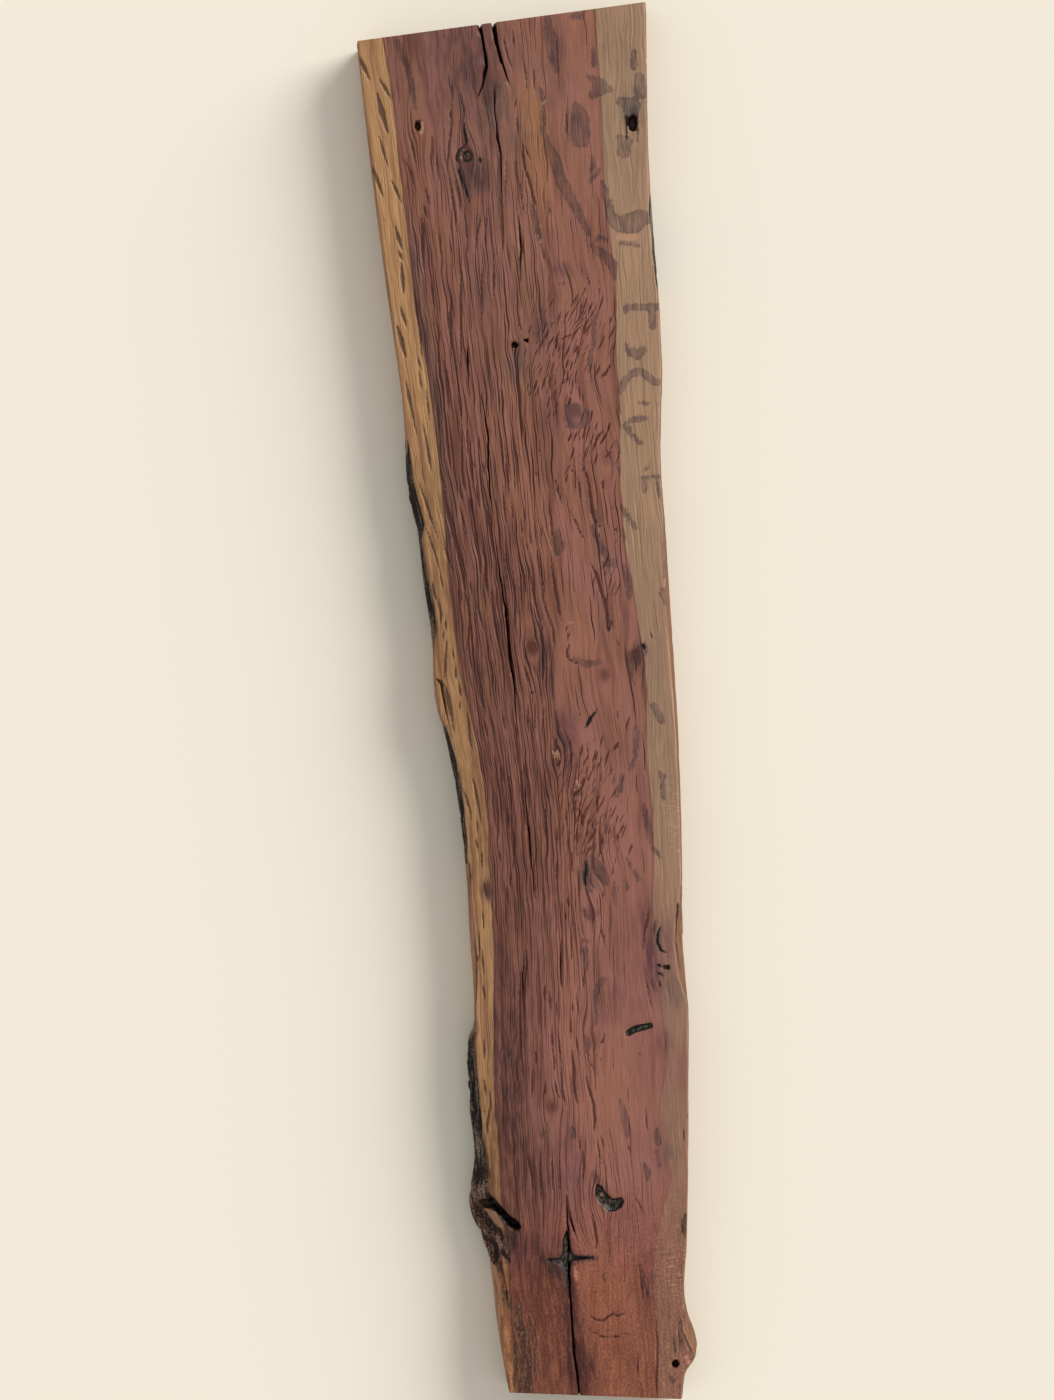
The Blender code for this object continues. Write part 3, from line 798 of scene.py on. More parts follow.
    (1.8, 577, 1035, 577, 1045, 580, 1058), (2, 558, 1030, 560, 1050, 561, 1062),
    (2.2, 545, 985, 545, 1002), (1.8, 550, 990, 551, 1012), (1.8, 556, 1000, 557, 1018),
    (2.2, 552, 1025, 553, 1055), (2, 585, 970, 584, 980, 583, 990), (1.8, 600, 925, 603, 935, 606, 950),
    (1.7, 643, 912, 645, 930, 643, 950), (2.2, 649, 905, 648, 918, 646, 930), (2.2, 655, 920, 654, 935),
    (1.5, 645, 977, 648, 987, 650, 1000, 652, 1008), (2, 605, 1033, 603, 1042, 600, 1044),
    (1.8, 585, 1048, 590, 1058), (1.6, 597, 1055, 602, 1062), (1.8, 646, 1108, 647, 1125, 648, 1132),
    (1.6, 628, 1143, 631, 1155), (1.8, 634, 1195, 640, 1205, 645, 1217), (2, 684, 1128, 684, 1142),
    (1.8, 681, 885, 682, 893), (2.8, 636, 1053, 642, 1053),
    (2.1, 590, 1316, 596, 1320, 604, 1320.5, 609, 1316, 613, 1314, 618, 1316, 627, 1313),
    (2.4, 588, 1329, 597, 1334, 604, 1337, 611, 1339, 618, 1336, 628, 1333),
    (2.2, 682, 1329, 686, 1340, 690, 1348, 696, 1356), (1.6, 697, 1356, 690, 1354, 683, 1355),
    (1.6, 697, 1357, 690, 1360, 682, 1363), (1.6, 696, 1358, 692, 1364, 687, 1370),
    (1.8, 640, 1270, 642, 1286, 643, 1300), (1.6, 656, 1320, 658, 1345, 657, 1392),
    (1.5, 638, 1352, 638, 1375), (2.6, 489, 1250, 494, 1262, 500, 1272), (2, 656, 1365, 657, 1394),
)
STAINS_AND_EDGE_SHADE = tuple(Stroke(Tone.STAIN, path) for path in (
    (547, 15, 6, 551, 40, 14, 556, 70, 7), (573, 16, 6, 581, 16, 6), (594, 49, 4, 594, 64, 6),
    (566, 1258, 7, 580, 1258, 8, 597, 1258, 5), (543, 1259, 6, 549, 1263, 9, 556, 1271, 9, 563, 1282, 6),
    (502, 1217, 6, 507, 1228, 9, 512, 1238, 10, 510, 1248, 8, 508, 1256, 5), (518, 1231, 5, 510, 1240, 6),
    (588, 76, 3, 600, 84, 13, 611, 90, 6), (592, 95, 8, 602, 90, 11), (634, 51, 5, 634, 66, 8),
    (640, 77, 10, 641, 92, 14), (622, 140, 8, 625, 152, 12), (620, 101, 8, 633, 105, 15, 632, 118, 13),
    (541, 88, 3, 543, 97, 5, 543, 103, 3),
    (544, 106, 4, 543, 127, 5, 547, 142, 6, 555, 158, 11, 558, 170, 12, 562, 182, 12, 569, 195, 11, 576,
     207, 9, 582, 220, 7, 589, 234, 5), (592, 158, 5, 594, 166, 5, 590, 171, 4),
    (591, 181, 4, 596, 175, 4, 600, 170, 4), (603, 182, 4, 605, 192, 8, 607, 202, 5),
    (607, 198, 4, 612, 212, 4), (533, 205, 3, 536, 220, 5, 540, 237, 4),
    (595, 241, 3, 600, 237, 5, 608, 240, 4), (549, 260, 2, 551, 267, 2.5, 556, 272, 2),
    (592, 245, 4, 600, 252, 9, 608, 258, 10, 613, 265, 10, 616, 280, 4), (621, 243, 4, 639, 245, 4),
    (627, 307, 7, 660, 307, 7), (652, 306, 6, 653, 326, 8), (626, 305, 3, 626, 314, 3),
    (633, 352, 9, 638, 355, 10, 643, 350, 8), (626, 345, 4, 630, 355, 4),
    (598, 313, 2, 594, 322, 4, 594, 348, 3), (591, 350, 3, 591, 360, 6, 590, 372, 3),
    (621, 391, 7, 624, 383, 7, 630, 375, 7, 640, 371, 8, 648, 376, 8, 654, 382, 7, 665, 382, 6),
    (640, 403, 3, 645, 403, 5, 649, 403, 3), (657, 404, 3, 664, 404, 2),
    (628, 421, 4, 638, 419, 7, 648, 418, 4), (624, 426, 5, 630, 429, 5),
    (629, 432, 4, 635, 438, 5, 641, 443, 5), (642, 478, 2.5, 650, 476, 3, 662, 476, 2.5),
    (645, 481, 6, 645, 490, 6), (657, 480, 3, 660, 497, 3), (645, 470, 3, 651, 465, 3),
    (616, 440, 3, 620, 452, 3), (617, 463, 3, 620, 473, 4), (592, 507, 6, 598, 520, 8),
    (592, 526, 3, 597, 537, 5.5, 602, 547, 6.5, 607, 556, 6, 608, 566, 4), (557, 532, 5, 558, 552, 8),
    (563, 542, 4, 563, 548, 5), (621, 505, 4, 625, 512, 5, 632, 522, 5, 636, 528, 4),
    (624, 528, 3, 625, 540, 3), (615, 561, 6, 615, 565, 6), (625, 566, 5, 629, 580, 6, 630, 597, 5),
    # The stroke from (665, 525) to (666, 578) is painted shade on the right arris strip.
    (665, 525, 4, 666, 578, 4), (608, 617, 5, 609, 630, 4), (575, 659, 5, 587, 664, 7, 600, 662, 5),
    (654, 706, 7, 662, 720, 8), (637, 727, 5, 636, 745, 6, 636, 757, 4),
    (635, 758, 3, 632, 766, 5, 630, 770, 3), (622, 774, 3, 622, 784, 4.5, 621, 792, 3),
    (618, 788, 3, 617, 797, 3), (644, 805, 4, 648, 822, 7, 651, 838, 6), (652, 846, 4, 660, 856, 5),
    (660, 773, 5, 664, 777, 6), (663, 782, 4, 664, 799, 4), (573, 793, 5, 583, 793, 6),
    (586, 862, 4, 586, 875, 8, 590, 888, 9), (592, 858, 5, 600, 868, 11, 606, 882, 8),
    (608, 822, 2, 606, 832, 4), (627, 858, 3, 631, 866, 4), (635, 872, 5, 639, 879, 5),
    (614, 884, 3, 615, 896, 5, 616, 905, 3), (627, 883, 3, 628, 890, 3),
    (583, 908, 3, 587, 916, 4, 594, 918, 4), (593, 912, 4, 600, 912, 3), (583, 940, 3, 587, 942, 5),
    (586, 950, 6, 587, 960, 7, 586, 970, 3),
    (604, 979, 6, 598, 986, 6, 596, 998, 5, 598, 1010, 5, 596, 1025, 3), (652, 980, 3, 656, 990, 4),
    (585, 1036, 4, 589, 1042, 7, 588, 1050, 3), (621, 1100, 3, 624, 1112, 6, 628, 1130, 7, 628, 1138, 3),
    (645, 1165, 4, 648, 1172, 6, 648, 1179, 3), (657, 1130, 5, 659, 1144, 7), (657, 1150, 4, 659, 1166, 4),
    (594, 1173, 4, 598, 1182, 7), (572, 1130, 8, 574, 1136, 6), (544, 1131, 3, 542, 1138, 3),
    (544, 1131, 2, 551, 1131, 2), (686, 1222, 9, 686, 1230, 8), (688, 1116, 3, 690, 1121, 3),
    (641, 1265, 3, 643, 1280, 4, 650, 1300, 3), (603, 1274, 2.5, 605, 1280, 3),
    (676, 1336, 3, 676, 1350, 3), (397, 39, 3, 405, 61, 6, 411, 79, 6, 415, 107, 4),
    (567, 427, 2, 590, 427, 2), (620, 137, 6, 626, 143, 14, 622, 152, 10),
    (622, 102, 5, 628, 110, 9, 630, 124, 8),
)) + tuple(Patch(Tone.STAIN, path) for path in (
    (574, 100, 583, 106, 590, 118, 591, 135, 588, 147, 574, 147, 571, 135, 571, 115),
    (607, 200, 612, 198, 614, 212, 620, 216, 630, 213, 640, 209, 654, 214, 656, 223, 645, 225, 640, 232,
     628, 234, 615, 231, 608, 222, 606, 212), (566, 404, 580, 403, 590, 412, 588, 428, 570, 428, 564, 418),
    (626, 648, 631, 652, 636, 649, 640, 644, 646, 641, 648, 652, 642, 663, 636, 668, 631, 680, 627, 665),
    (657, 590, 672, 585, 673, 607, 665, 605),
))
# Resin and decay, and one painted shadow: the stroke from (678.5, 903) to (687, 993).
RESIN_AND_SHADOW_MARKS = flecks(
    0.5, (2.4, 661, 926, 658, 935, 658, 943, 661, 950, 667, 953), (2, 660, 980, 661, 988),
    (2.6, 586.5, 861, 586, 870, 585, 880, 586, 885, 594, 888),
    (3.6, 586, 728, 588, 724, 591, 718, 598, 709), (2.8, 465, 122, 465, 133, 467, 142, 465, 147),
    (3.2, 464, 146.5, 459, 151, 457.5, 158, 459.5, 165),
    (2.8, 459.5, 164, 460, 172, 463, 182, 468, 195, 470, 203), (3.6, 480, 157, 481, 163),
    (3, 531, 690, 534, 694), (4, 505.5, 1287, 507.5, 1300), (4, 497, 1240, 505, 1255, 511, 1262),
    (4, 640, 643, 644, 646, 645, 650), tone=Tone.BLACK,
) + tuple(Stroke(Tone.BLACK, path) for path in (
    (465, 152.5, 2.5, 468, 151, 2.5, 471.5, 153, 2.5, 471.5, 159, 2.5, 468, 161.5, 2.5, 465, 160, 2.5,
     463.5, 156, 2.5, 465, 152.5, 2.5), (627, 116, 2, 627, 140, 2), (638, 128, 2, 638, 142, 2),
    (659, 965, 3, 661, 966, 3), (668, 966, 3, 669, 968, 3), (659, 973, 2.4, 663, 975, 2.4),
    (489, 1196, 5, 493, 1201, 7, 498, 1207.5, 8, 504, 1215, 8, 510, 1222, 8.5, 516, 1226, 8, 519, 1227, 6),
    # Painted shadow in the gap beside the step in the right edge.
    (678.5, 903, 2, 677.5, 918, 2.6, 677, 932, 2.6, 677.5, 945, 2.6, 680, 965, 2.8, 683, 978, 3, 687, 993,
     3),
))
BARK_MARKS = tuple(Stroke(Tone.BARK, path) for path in (
    (474, 1190, 6, 481, 1192, 6, 487, 1195, 5), (477, 1196, 6, 483, 1203, 5, 486, 1210, 3),
    (490, 1200, 4, 497, 1209, 4, 502, 1218, 4, 504, 1224, 3),
    (476, 1188, 8, 481, 1206, 9, 488, 1222, 12, 497, 1236, 14, 506, 1250, 9, 511, 1264, 5),
    (494, 1252, 5, 500, 1270, 4), (503, 1285, 4, 507, 1300, 7, 512, 1310, 3),
    (517, 1306, 4, 521, 1326, 9, 526, 1350, 12, 527, 1374, 14, 524, 1394, 13),
    (531, 1318, 3, 536, 1340, 5, 534, 1372, 3), (514, 1318, 3, 516, 1345, 4, 517, 1366, 5, 514, 1386, 6),
    (501, 1352, 2, 505, 1376, 2.4, 507, 1392, 2), (687, 1308, 3, 683, 1322, 6, 680, 1338, 6, 680, 1350, 4),
    (675, 1338, 3, 676, 1352, 3), (669, 1372, 2, 674, 1381, 3, 679, 1386, 2), (686, 1216, 7, 685, 1232, 7),
))
# Pale callus wood, and painted highlights: the small strokes at (590.5, 886.5), (540, 241), (541, 225), (538,
# 235), (514, 345) and (602, 1194.5) are glints, and the long thin ones along both edges are lit arrises.
PALE_AND_GLINT_MARKS = tuple(Stroke(Tone.PALE, path) for path in (
    (422, 121, 2.5, 423.5, 127, 3, 422, 133, 2.5), (619, 237, 6, 636, 237, 6), (687, 1357, 4, 689, 1362, 5),
    (486, 1206, 6, 490.5, 1213, 9, 496.5, 1221, 8, 500, 1226, 4), (557, 749, 2, 560, 759, 2),
    (553, 752, 2, 557, 759, 2), (590.5, 886.5, 2.5, 592, 887, 2.5), (540, 241, 2.5, 541, 242, 2.5),
    (514, 345, 2, 514.5, 347, 2), (541, 225, 2, 541, 227, 2), (538, 235, 2, 538, 237, 2),
    (578, 855, 1.4, 578, 866, 1.4), (543, 104, 2, 547, 100, 2.4), (582, 716, 1.6, 588, 715, 1.6),
    (582, 720, 1.6, 587, 720, 1.6), (462, 785, 1.6, 465, 805, 1.8, 468, 830, 1.8, 470, 850, 1.4),
    (478, 962, 1.8, 479, 980, 2, 478, 1008, 2.2, 478, 1034, 2.4),
    (473, 895, 1.6, 475, 925, 2.2, 478, 955, 1.6),
    (669, 608, 1.4, 671, 650, 1.4, 673, 690, 1.4, 676, 718, 1.4), (572, 785, 2, 579, 780, 2),
    (575, 790, 1.8, 581, 784, 1.8), (568, 624, 1.6, 573, 622, 1.6),
    (444, 717, 2, 449, 733, 2.2, 455, 752, 2.2, 459, 772, 2.2), (575, 1268, 3, 577, 1279, 4),
    (602, 1194.5, 3, 602.5, 1196, 3),
))
MARKS = SAPWOOD_DASHES + HEART_FLECKS + STAINS_AND_EDGE_SHADE + RESIN_AND_SHADOW_MARKS + BARK_MARKS + PALE_AND_GLINT_MARKS

LEANS = (
    Lean((585, 335), (34, 60), 0.2), Lean((596, 800), (34, 75), 0.2), Lean((560, 520), (24, 60), -0.08),
    Lean((455, 520), (30, 90), -0.05),
)
# Knots: middle, radius, darkness.
KNOTS = tuple(Knot(*row) for row in (
    ((466, 156), 9, 0.6), ((418, 126), 7, 0.3), ((533, 646), 9, 0.95), ((557, 754), 6, 0.6),
    ((552, 1107), 7, 0.85), ((574, 411), 7, 0.5), ((607, 457), 8, 0.45), ((605, 675), 7, 0.7),
    ((594, 1040), 10, 0.4), ((632, 124), 11, 0.3), ((514, 345), 6, 0.5), ((577, 793), 6, 0.5),
    ((572, 1262), 13, 0.3), ((603, 1197), 12, 0.2), ((640, 1030), 10, 0.1), ((590, 914), 9, 0.4),
    ((637, 656), 9, 0.5), ((597, 872), 9, 0.25),
))
# The patches of each cast: centre, radii, amount.
BLOBS = tuple(Blob(cast, *row) for cast, rows in (
    (Cast.SHADE, (
        ((487, 50), (18, 50), 0.25), ((552, 1267), (10, 13), 0.3), ((508, 1238), (9, 14), 0.45),
        ((489, 890), (7, 10), 0.5), ((547, 782), (11, 26), 0.4), ((571, 1306), (7, 34), 0.7),
        ((576, 1365), (8, 34), 0.55), ((551, 1264), (14, 11), 0.8), ((566, 1248), (7, 16), 0.5),
        ((560, 1280), (8, 14), 0.5), ((526, 1352), (9, 40), 0.8), ((514, 1165), (24, 60), 0.4),
        ((530, 1288), (30, 50), 0.3), ((687, 1262), (10, 60), 0.3), ((410, 110), (8, 70), 0.12),
        ((664, 1310), (20, 90), 0.1), ((535, 450), (24, 50), 0.2), ((548, 595), (22, 50), 0.22),
        ((556, 920), (26, 60), 0.12), ((626, 985), (34, 50), 0.2), ((625, 1235), (34, 40), 0.2),
        # The patch at (496, 1214) is painted shade over the branch void's lit rim.
        ((605, 1365), (30, 40), 0.15), ((617, 40), (20, 40), 0.25), ((496, 1214), (15, 20), 0.75),
        ((583, 1372), (12, 26), 0.45),
    )),
    (Cast.ROSE, (
        ((600, 1120), (50, 120), 0.4), ((560, 960), (20, 90), 0.4), ((450, 150), (60, 160), 0.2),
        ((580, 110), (24, 80), 0.3), ((602, 1112), (24, 40), 0.4),
    )),
    (Cast.PURPLE, (
        ((470, 60), (40, 60), 0.55), ((475, 178), (15, 18), 0.6), ((541, 328), (12, 20), 0.55),
        ((563, 269), (14, 8), 0.5), ((560, 415), (14, 14), 0.3), ((565, 755), (13, 34), 0.65),
        ((566, 724), (13, 20), 0.6), ((548, 672), (10, 30), 0.55), ((541, 646), (12, 16), 0.4),
        ((638, 660), (12, 18), 0.3), ((649, 940), (10, 46), 0.75), ((576, 1172), (18, 52), 0.4),
        ((512, 1095), (14, 60), 0.5), ((540, 1180), (26, 50), 0.35), ((520, 1250), (26, 18), 0.6),
        ((571, 1318), (10, 50), 0.9), ((582, 1372), (15, 28), 0.7), ((548, 1370), (12, 28), 0.15),
        ((664, 1042), (8, 14), 0.5), ((650, 1290), (10, 40), 0.4), ((560, 50), (12, 40), 0.35),
        ((505, 1010), (20, 80), 0.45), ((664, 940), (13, 26), 0.4), ((660, 977), (12, 16), 0.3),
    )),
    (Cast.ORANGE, (
        ((540, 150), (11, 60), 0.8), ((525, 105), (12, 30), 0.4), ((580, 635), (17, 30), 0.2),
        ((618, 1085), (24, 60), 0.3), ((578, 90), (40, 110), 0.2),
    )),
    (Cast.GREY, (
        ((566, 1268), (8, 18), 0.4), ((495, 108), (9, 22), 0.7), ((472, 70), (6, 14), 0.6),
        ((518, 362), (13, 26), 0.5), ((589, 875), (13, 20), 0.4), ((556, 1268), (9, 14), 0.6),
        ((490, 480), (10, 26), 0.3), ((673, 992), (14, 16), 0.6), ((668, 1155), (10, 16), 0.4),
        ((640, 96), (16, 26), 0.35), ((655, 700), (16, 140), 0.22), ((628, 112), (9, 14), 0.7),
        ((440, 60), (50, 60), 0.36), ((520, 105), (42, 80), 0.45), ((515, 300), (42, 110), 0.3),
        ((612, 590), (25, 60), 0.15), ((620, 760), (30, 60), 0.15), ((470, 150), (44, 60), 0.28),
        ((590, 110), (34, 90), 0.18), ((475, 175), (14, 20), 0.4),
    )),
    (Cast.NET, (
        ((676, 818), (11, 42), 1.0), ((678, 1268), (12, 34), 0.9),
    )),
    (Cast.CURL, (
        ((572, 330), (38, 45), 0.9), ((558, 385), (28, 30), 0.7), ((590, 445), (22, 32), 0.5),
        ((588, 790), (28, 60), 0.55), ((600, 855), (28, 34), 0.5), ((608, 575), (14, 45), 0.35),
        ((508, 1050), (16, 55), 0.4),
    )),
    (Cast.BLUSH, (
        ((489, 890), (7, 10), 1.6), ((668, 955), (20, 50), 0.5), ((660, 1050), (8, 60), 0.5),
        ((684, 1072), (8, 26), 0.5), ((662, 1142), (8, 26), 0.5),
    )),
    (Cast.PLAIN, (
        ((590, 120), (30, 110), 0.8), ((604, 340), (10, 50), 0.9), ((592, 520), (26, 60), 0.5),
        ((572, 625), (24, 40), 0.7), ((605, 700), (36, 60), 0.7), ((640, 880), (24, 160), 0.7),
        ((620, 1010), (42, 90), 0.6), ((640, 1150), (30, 110), 0.7), ((445, 80), (50, 75), 0.75),
        ((512, 90), (34, 70), 0.7), ((615, 1330), (70, 80), 0.9), ((596, 880), (24, 26), 0.7),
        ((555, 350), (36, 60), 0.6), ((592, 790), (30, 60), 0.5), ((602, 1112), (24, 40), 0.7),
    )),
) for row in rows)


@dataclass(frozen=True)
class BulokeFigure:
    """The colour pattern of the face, worked out for every point of the mesh as fields in millimetres."""

    width: float = 195.0  # between the two lines that the outer grain follows
    even: float = 95.0  # to each side of the middle, within which the grain wanders
    dusky: tuple[float, float] = (161.0, 531.0)  # along, where heartwood greys beside the left sapwood
    warm_line: tuple[float, float] = (35.0, 22.0)  # an orange band right of the heart: middle, reach
    knot_reach: float = 1.7  # in the knot's radii, how far round it the grain bends
    knot_pull: float = 0.75
    knot_stretch: float = 0.55  # how much longer than wide the bend is, as a share
    ring_stretch: float = 0.85
    pocket_gain: float = 1.5  # how much faster resin darkens in a pocket than in a mark

    def mark_fields(self, across: np.ndarray, along: np.ndarray) -> dict[Tone, np.ndarray]:
        """The furthest-in distance over all marks of each tone.

        Args:
            across: Places across the slab.
            along: Places along it.

        Returns:
            For each tone, millimetres, positive inside a mark.
        """
        fields = {tone: np.full(across.shape, -FIELD_REACH) for tone in Tone}
        for mark in MARKS:
            near, field = mark.near(across, along), fields[mark.tone]
            field[near] = np.maximum(field[near], mark.field(across[near], along[near]))
        for pocket in POCKETS:
            if pocket is not BRANCH_VOID:
                inside = np.clip(pocket.inside(across, along), -FIELD_REACH, FIELD_REACH)
                fields[Tone.BLACK] = np.maximum(fields[Tone.BLACK], self.pocket_gain * inside)
        return fields

    def casts(self, across: np.ndarray, along: np.ndarray) -> np.ndarray:
        """Weights of the soft colour changes: slow trends along and across the slab, plus the patches.

        Args:
            across: Places across the slab.
            along: Places along it.

        Returns:
            A weight from 0 to 1 for each cast, in the last axis.
        """
        weights = np.zeros((*across.shape, len(Cast)))
        heart = curve_through(HEART_LINE, along)
        left_sap = curve_through(SAP_LINE_LEFT, along) - across
        right_sap = across - curve_through(SAP_LINE_RIGHT, along)
        from_heart = across - heart
        lower, foot = smooth(-along, 60, 420), smooth(-along, 560, 640)
        middle, reach = self.warm_line
        left_half = smooth(curve_through(SHADE_REACH, along) - from_heart, -30, 40)
        weights[..., Cast.SHADE.value] = (
            curve_through(LEFT_SHADE, along) * left_half * smooth(-left_sap, -2, 2)
            + curve_through(SAP_SHADE, along) * smooth(left_sap, -1, 1)
            + (0.2 * lower + 0.15 * foot) * (1 - left_half))
        rosy = 0.3 + 0.45 * smooth(-along, -100, 480)
        weights[..., Cast.ROSE.value] = rosy * smooth(from_heart, -60, 50) * (1 - 0.8 * foot)
        weights[..., Cast.ORANGE.value] = 0.25 * np.exp(-(((from_heart - middle) / reach) ** 2)) + 0.3 * foot
        dusk = smooth(np.minimum(along - self.dusky[0], self.dusky[1] - along), -20, 30)
        weights[..., Cast.GREY.value] = 0.6 * dusk * smooth(6 - np.abs(left_sap + 6), -2, 3)
        weights[..., Cast.BLUSH.value] = smooth(right_sap, -9, 0) * (
            0.2 * smooth(-along, -230, -100) + 0.4 * smooth(-along, 250, 400) - 0.1 * foot)
        for blob in BLOBS:
            weights[..., blob.cast.value] += blob.weight(across, along)
        return np.clip(weights, 0, 1)

    def grain(self, across: np.ndarray, along: np.ndarray) -> np.ndarray:
        """Grain coordinates: across the slab with the edges' slow drift taken out, and pushed round knots.

        Args:
            across: Places across the slab.
            along: Places along it.

        Returns:
            The grain coordinate, the place along and how dark the ray flecks are, in the last axis.
        """
        left, right = curve_through(GRAIN_LEFT, along), curve_through(GRAIN_RIGHT, along)
        straight = (across - (left + right) / 2) / (right - left) * self.width
        inner = smooth(self.even - np.abs(straight), 0, 30)
        bent = straight + inner * (1.5 * lattice_noise(across / 40, along / 70, 5)
                                   + 0.8 * lattice_noise(across / 16, along / 34, 6))
        for lean in LEANS:
            bent = bent - lean.shift(across, along)
        for knot in KNOTS:
            x, y, radius = knot.place()
            gap = np.hypot(across - x, (along - y) * self.knot_stretch)
            pull = np.exp(-((gap / (radius * self.knot_reach)) ** 2))
            bent = bent - (across - x) * self.knot_pull * pull
        return np.stack([bent, along, curve_through(FLECK_DARKNESS, along)], axis=-1)

    def knot_field(self, across: np.ndarray, along: np.ndarray) -> np.ndarray:
        """Distance from the nearest knot's middle over its radius, and its darkness weight.

        Args:
            across: Places across the slab.
            along: Places along it.

        Returns:
            The darkness and then the distance, in the last axis.
        """
        dark = np.zeros(across.shape)
        rings = np.full(across.shape, 9.0)
        for knot in KNOTS:
            x, y, radius = knot.place()
            gap = np.hypot(across - x, (along - y) * self.ring_stretch)
            rings = np.minimum(rings, gap / radius)
            dark = np.maximum(dark, knot.dark * smooth(-gap / radius, -1.25, -0.35))
        return np.stack([dark, rings], axis=-1)

    def ray_share(self, across: np.ndarray, along: np.ndarray) -> np.ndarray:
        """How crowded the ray flecks are: dense left of the middle, sparse to the right and at the foot.

        Args:
            across: Places across the slab.
            along: Places along it.

        Returns:
            A share from 0 to 1.
        """
        heart = curve_through(HEART_LINE, along)
        wider = 22 * smooth(-along, -60, 60)
        share = (1 - 0.75 * smooth(across - heart - wider, 38, 80)) * (1 - 0.25 * smooth(along, 480, 640))
        foot = smooth(-along, 540, 600)
        return share * (1 - 0.8 * foot)


@dataclass
class SlabWood:
    """The whole slab as one closed skin: rows of a loop that runs over the face, down and round."""

    figure: BulokeFigure
    left: LiveEdge
    right: LiveEdge
    rows: int = 445
    face_columns: int = 176
    back_columns: int = 14
    stops: tuple[float, ...] = (0, 0.13, 0.44, 0.66, 0.87, 1.0)  # shares of the columns between grain lines
    least_sap: float = 9.0  # millimetres between an edge and the line where its sapwood ends
    steps: int = 8
    follow_reach: float = 6.5  # how far round such a line the columns follow
    gather: float = 0.62  # share of their distance by which they then close up on it
    gather_reach: float = 4.5
    least_left: float = 8.0  # wood that stays below the deepest cut
    crease: float = math.radians(38)  # edges that turn by more stay sharp
    mark_run: float = 4.0  # millimetres that a mark runs down a side at its full width
    mark_loss: float = 0.5  # millimetres of its width that it then loses for each one further down
    side_depths: tuple[float, ...] = (0.4, 1.2, 3, 6, 9.5, 13, 17, 21, 25.5, 30, 35, 40, 45, 48.8, 49.6)
    crowding: tuple[tuple[float, float, float], ...] = (  # along, reach, how much closer the rows stand
        (634, 12, 1.6), (598, 16, 2.2), (621, 14, 1.2), (394, 9, 2.4), (700, 30, 0.6), (520, 30, 0.5),
        (495, 20, 0.6), (330, 40, 0.5), (395, 40, 0.5), (50, 30, 0.5), (-275, 22, 1.6), (-350, 12, 1.5),
        (-528, 26, 2.0), (-592, 20, 1.6), (-712, 10, 1.8), (-665, 14, 1.4),
    )

    def row_shares(self) -> np.ndarray:
        """Shares of the length at which rows stand: even steps of the summed crowding, read backwards.

        Returns:
            One share for each row, rising from 0 to 1.
        """
        share = np.linspace(0, 1, 4001)
        along = FOOT_CUT[1][1] + (HEAD_CUT[1][1] - FOOT_CUT[1][1]) * share
        density = np.ones(share.shape)
        for place, reach, extra in self.crowding:
            density = density + extra * np.exp(-(((along - place) / reach) ** 2))
        total = np.concatenate([[0], np.cumsum((density[1:] + density[:-1]) / 2)])
        return np.interp(np.linspace(0, total[-1], self.rows), total, share)

    def edge_points(self, edge: LiveEdge, share: np.ndarray) -> np.ndarray:
        """Plan points of a side's widest line at each row.

        Args:
            edge: The side.
            share: Each row's share of the length.

        Returns:
            Rows of (across, along).
        """
        start, end = edge.corners()
        along = start + (end - start) * share
        return np.column_stack([curve_through(edge.line, along), along])

    def face_places(self, left: np.ndarray, right: np.ndarray) -> np.ndarray:
        """Plan points of the face's grid: columns follow the grain and gather at the checks.

        A column holds one share of the way between two grain lines. Near a check the column that strays
        least from it is moved on to its line in small steps, so that no column crosses another. The
        columns round it follow in a bell, and then all of them close up on the line.

        Args:
            left: The face's left edge at each row.
            right: Its right edge at each row.

        Returns:
            Rows by columns by (across, along).
        """
        middle = (left[:, 1] + right[:, 1]) / 2
        lines = np.column_stack([
            left[:, 0],
            np.maximum(curve_through(SAP_LINE_LEFT, middle), left[:, 0] + self.least_sap),
            curve_through(HEART_LINE, middle),
            curve_through(MIDDLE_LINE, middle),
            np.minimum(curve_through(SAP_LINE_RIGHT, middle), right[:, 0] - self.least_sap),
            right[:, 0],
        ])
        at = np.linspace(0, 1, self.face_columns)
        weights = np.array([np.interp(at, self.stops, row) for row in np.eye(len(self.stops))])
        across = lines @ weights
        followed = []
        for check in (check for check in CHECKS if not check.on_back):
            ends = [place for _, place in check.route]
            near = smooth(middle, min(ends) - 24, min(ends) - 4)
            near = near * smooth(-middle, -max(ends) - 24, -max(ends) - 4)
            line = check.line(middle)
            beside = (middle > min(ends)) & (middle < max(ends))
            column = int(np.abs(across[beside] - line[beside, None]).max(0).argmin())
            followed.append((line, near, min(max(column, 2), self.face_columns - 3)))
        for step in range(self.steps):
            for line, near, column in followed:
                own = across[:, column]
                bell = np.exp(-(((across - own[:, None]) / self.follow_reach) ** 2))
                across = across + ((line - own) * near / (self.steps - step))[:, None] * bell
        for line, near, _ in followed:
            off = across - line[:, None]
            closing = self.gather * near[:, None] * np.exp(-((off / self.gather_reach) ** 2))
            across = across - closing * off
        share = (across - left[:, :1]) / (right[:, :1] - left[:, :1])
        share = np.clip(share, 0, 1)
        return left[:, None, :] + (right - left)[:, None, :] * share[..., None]

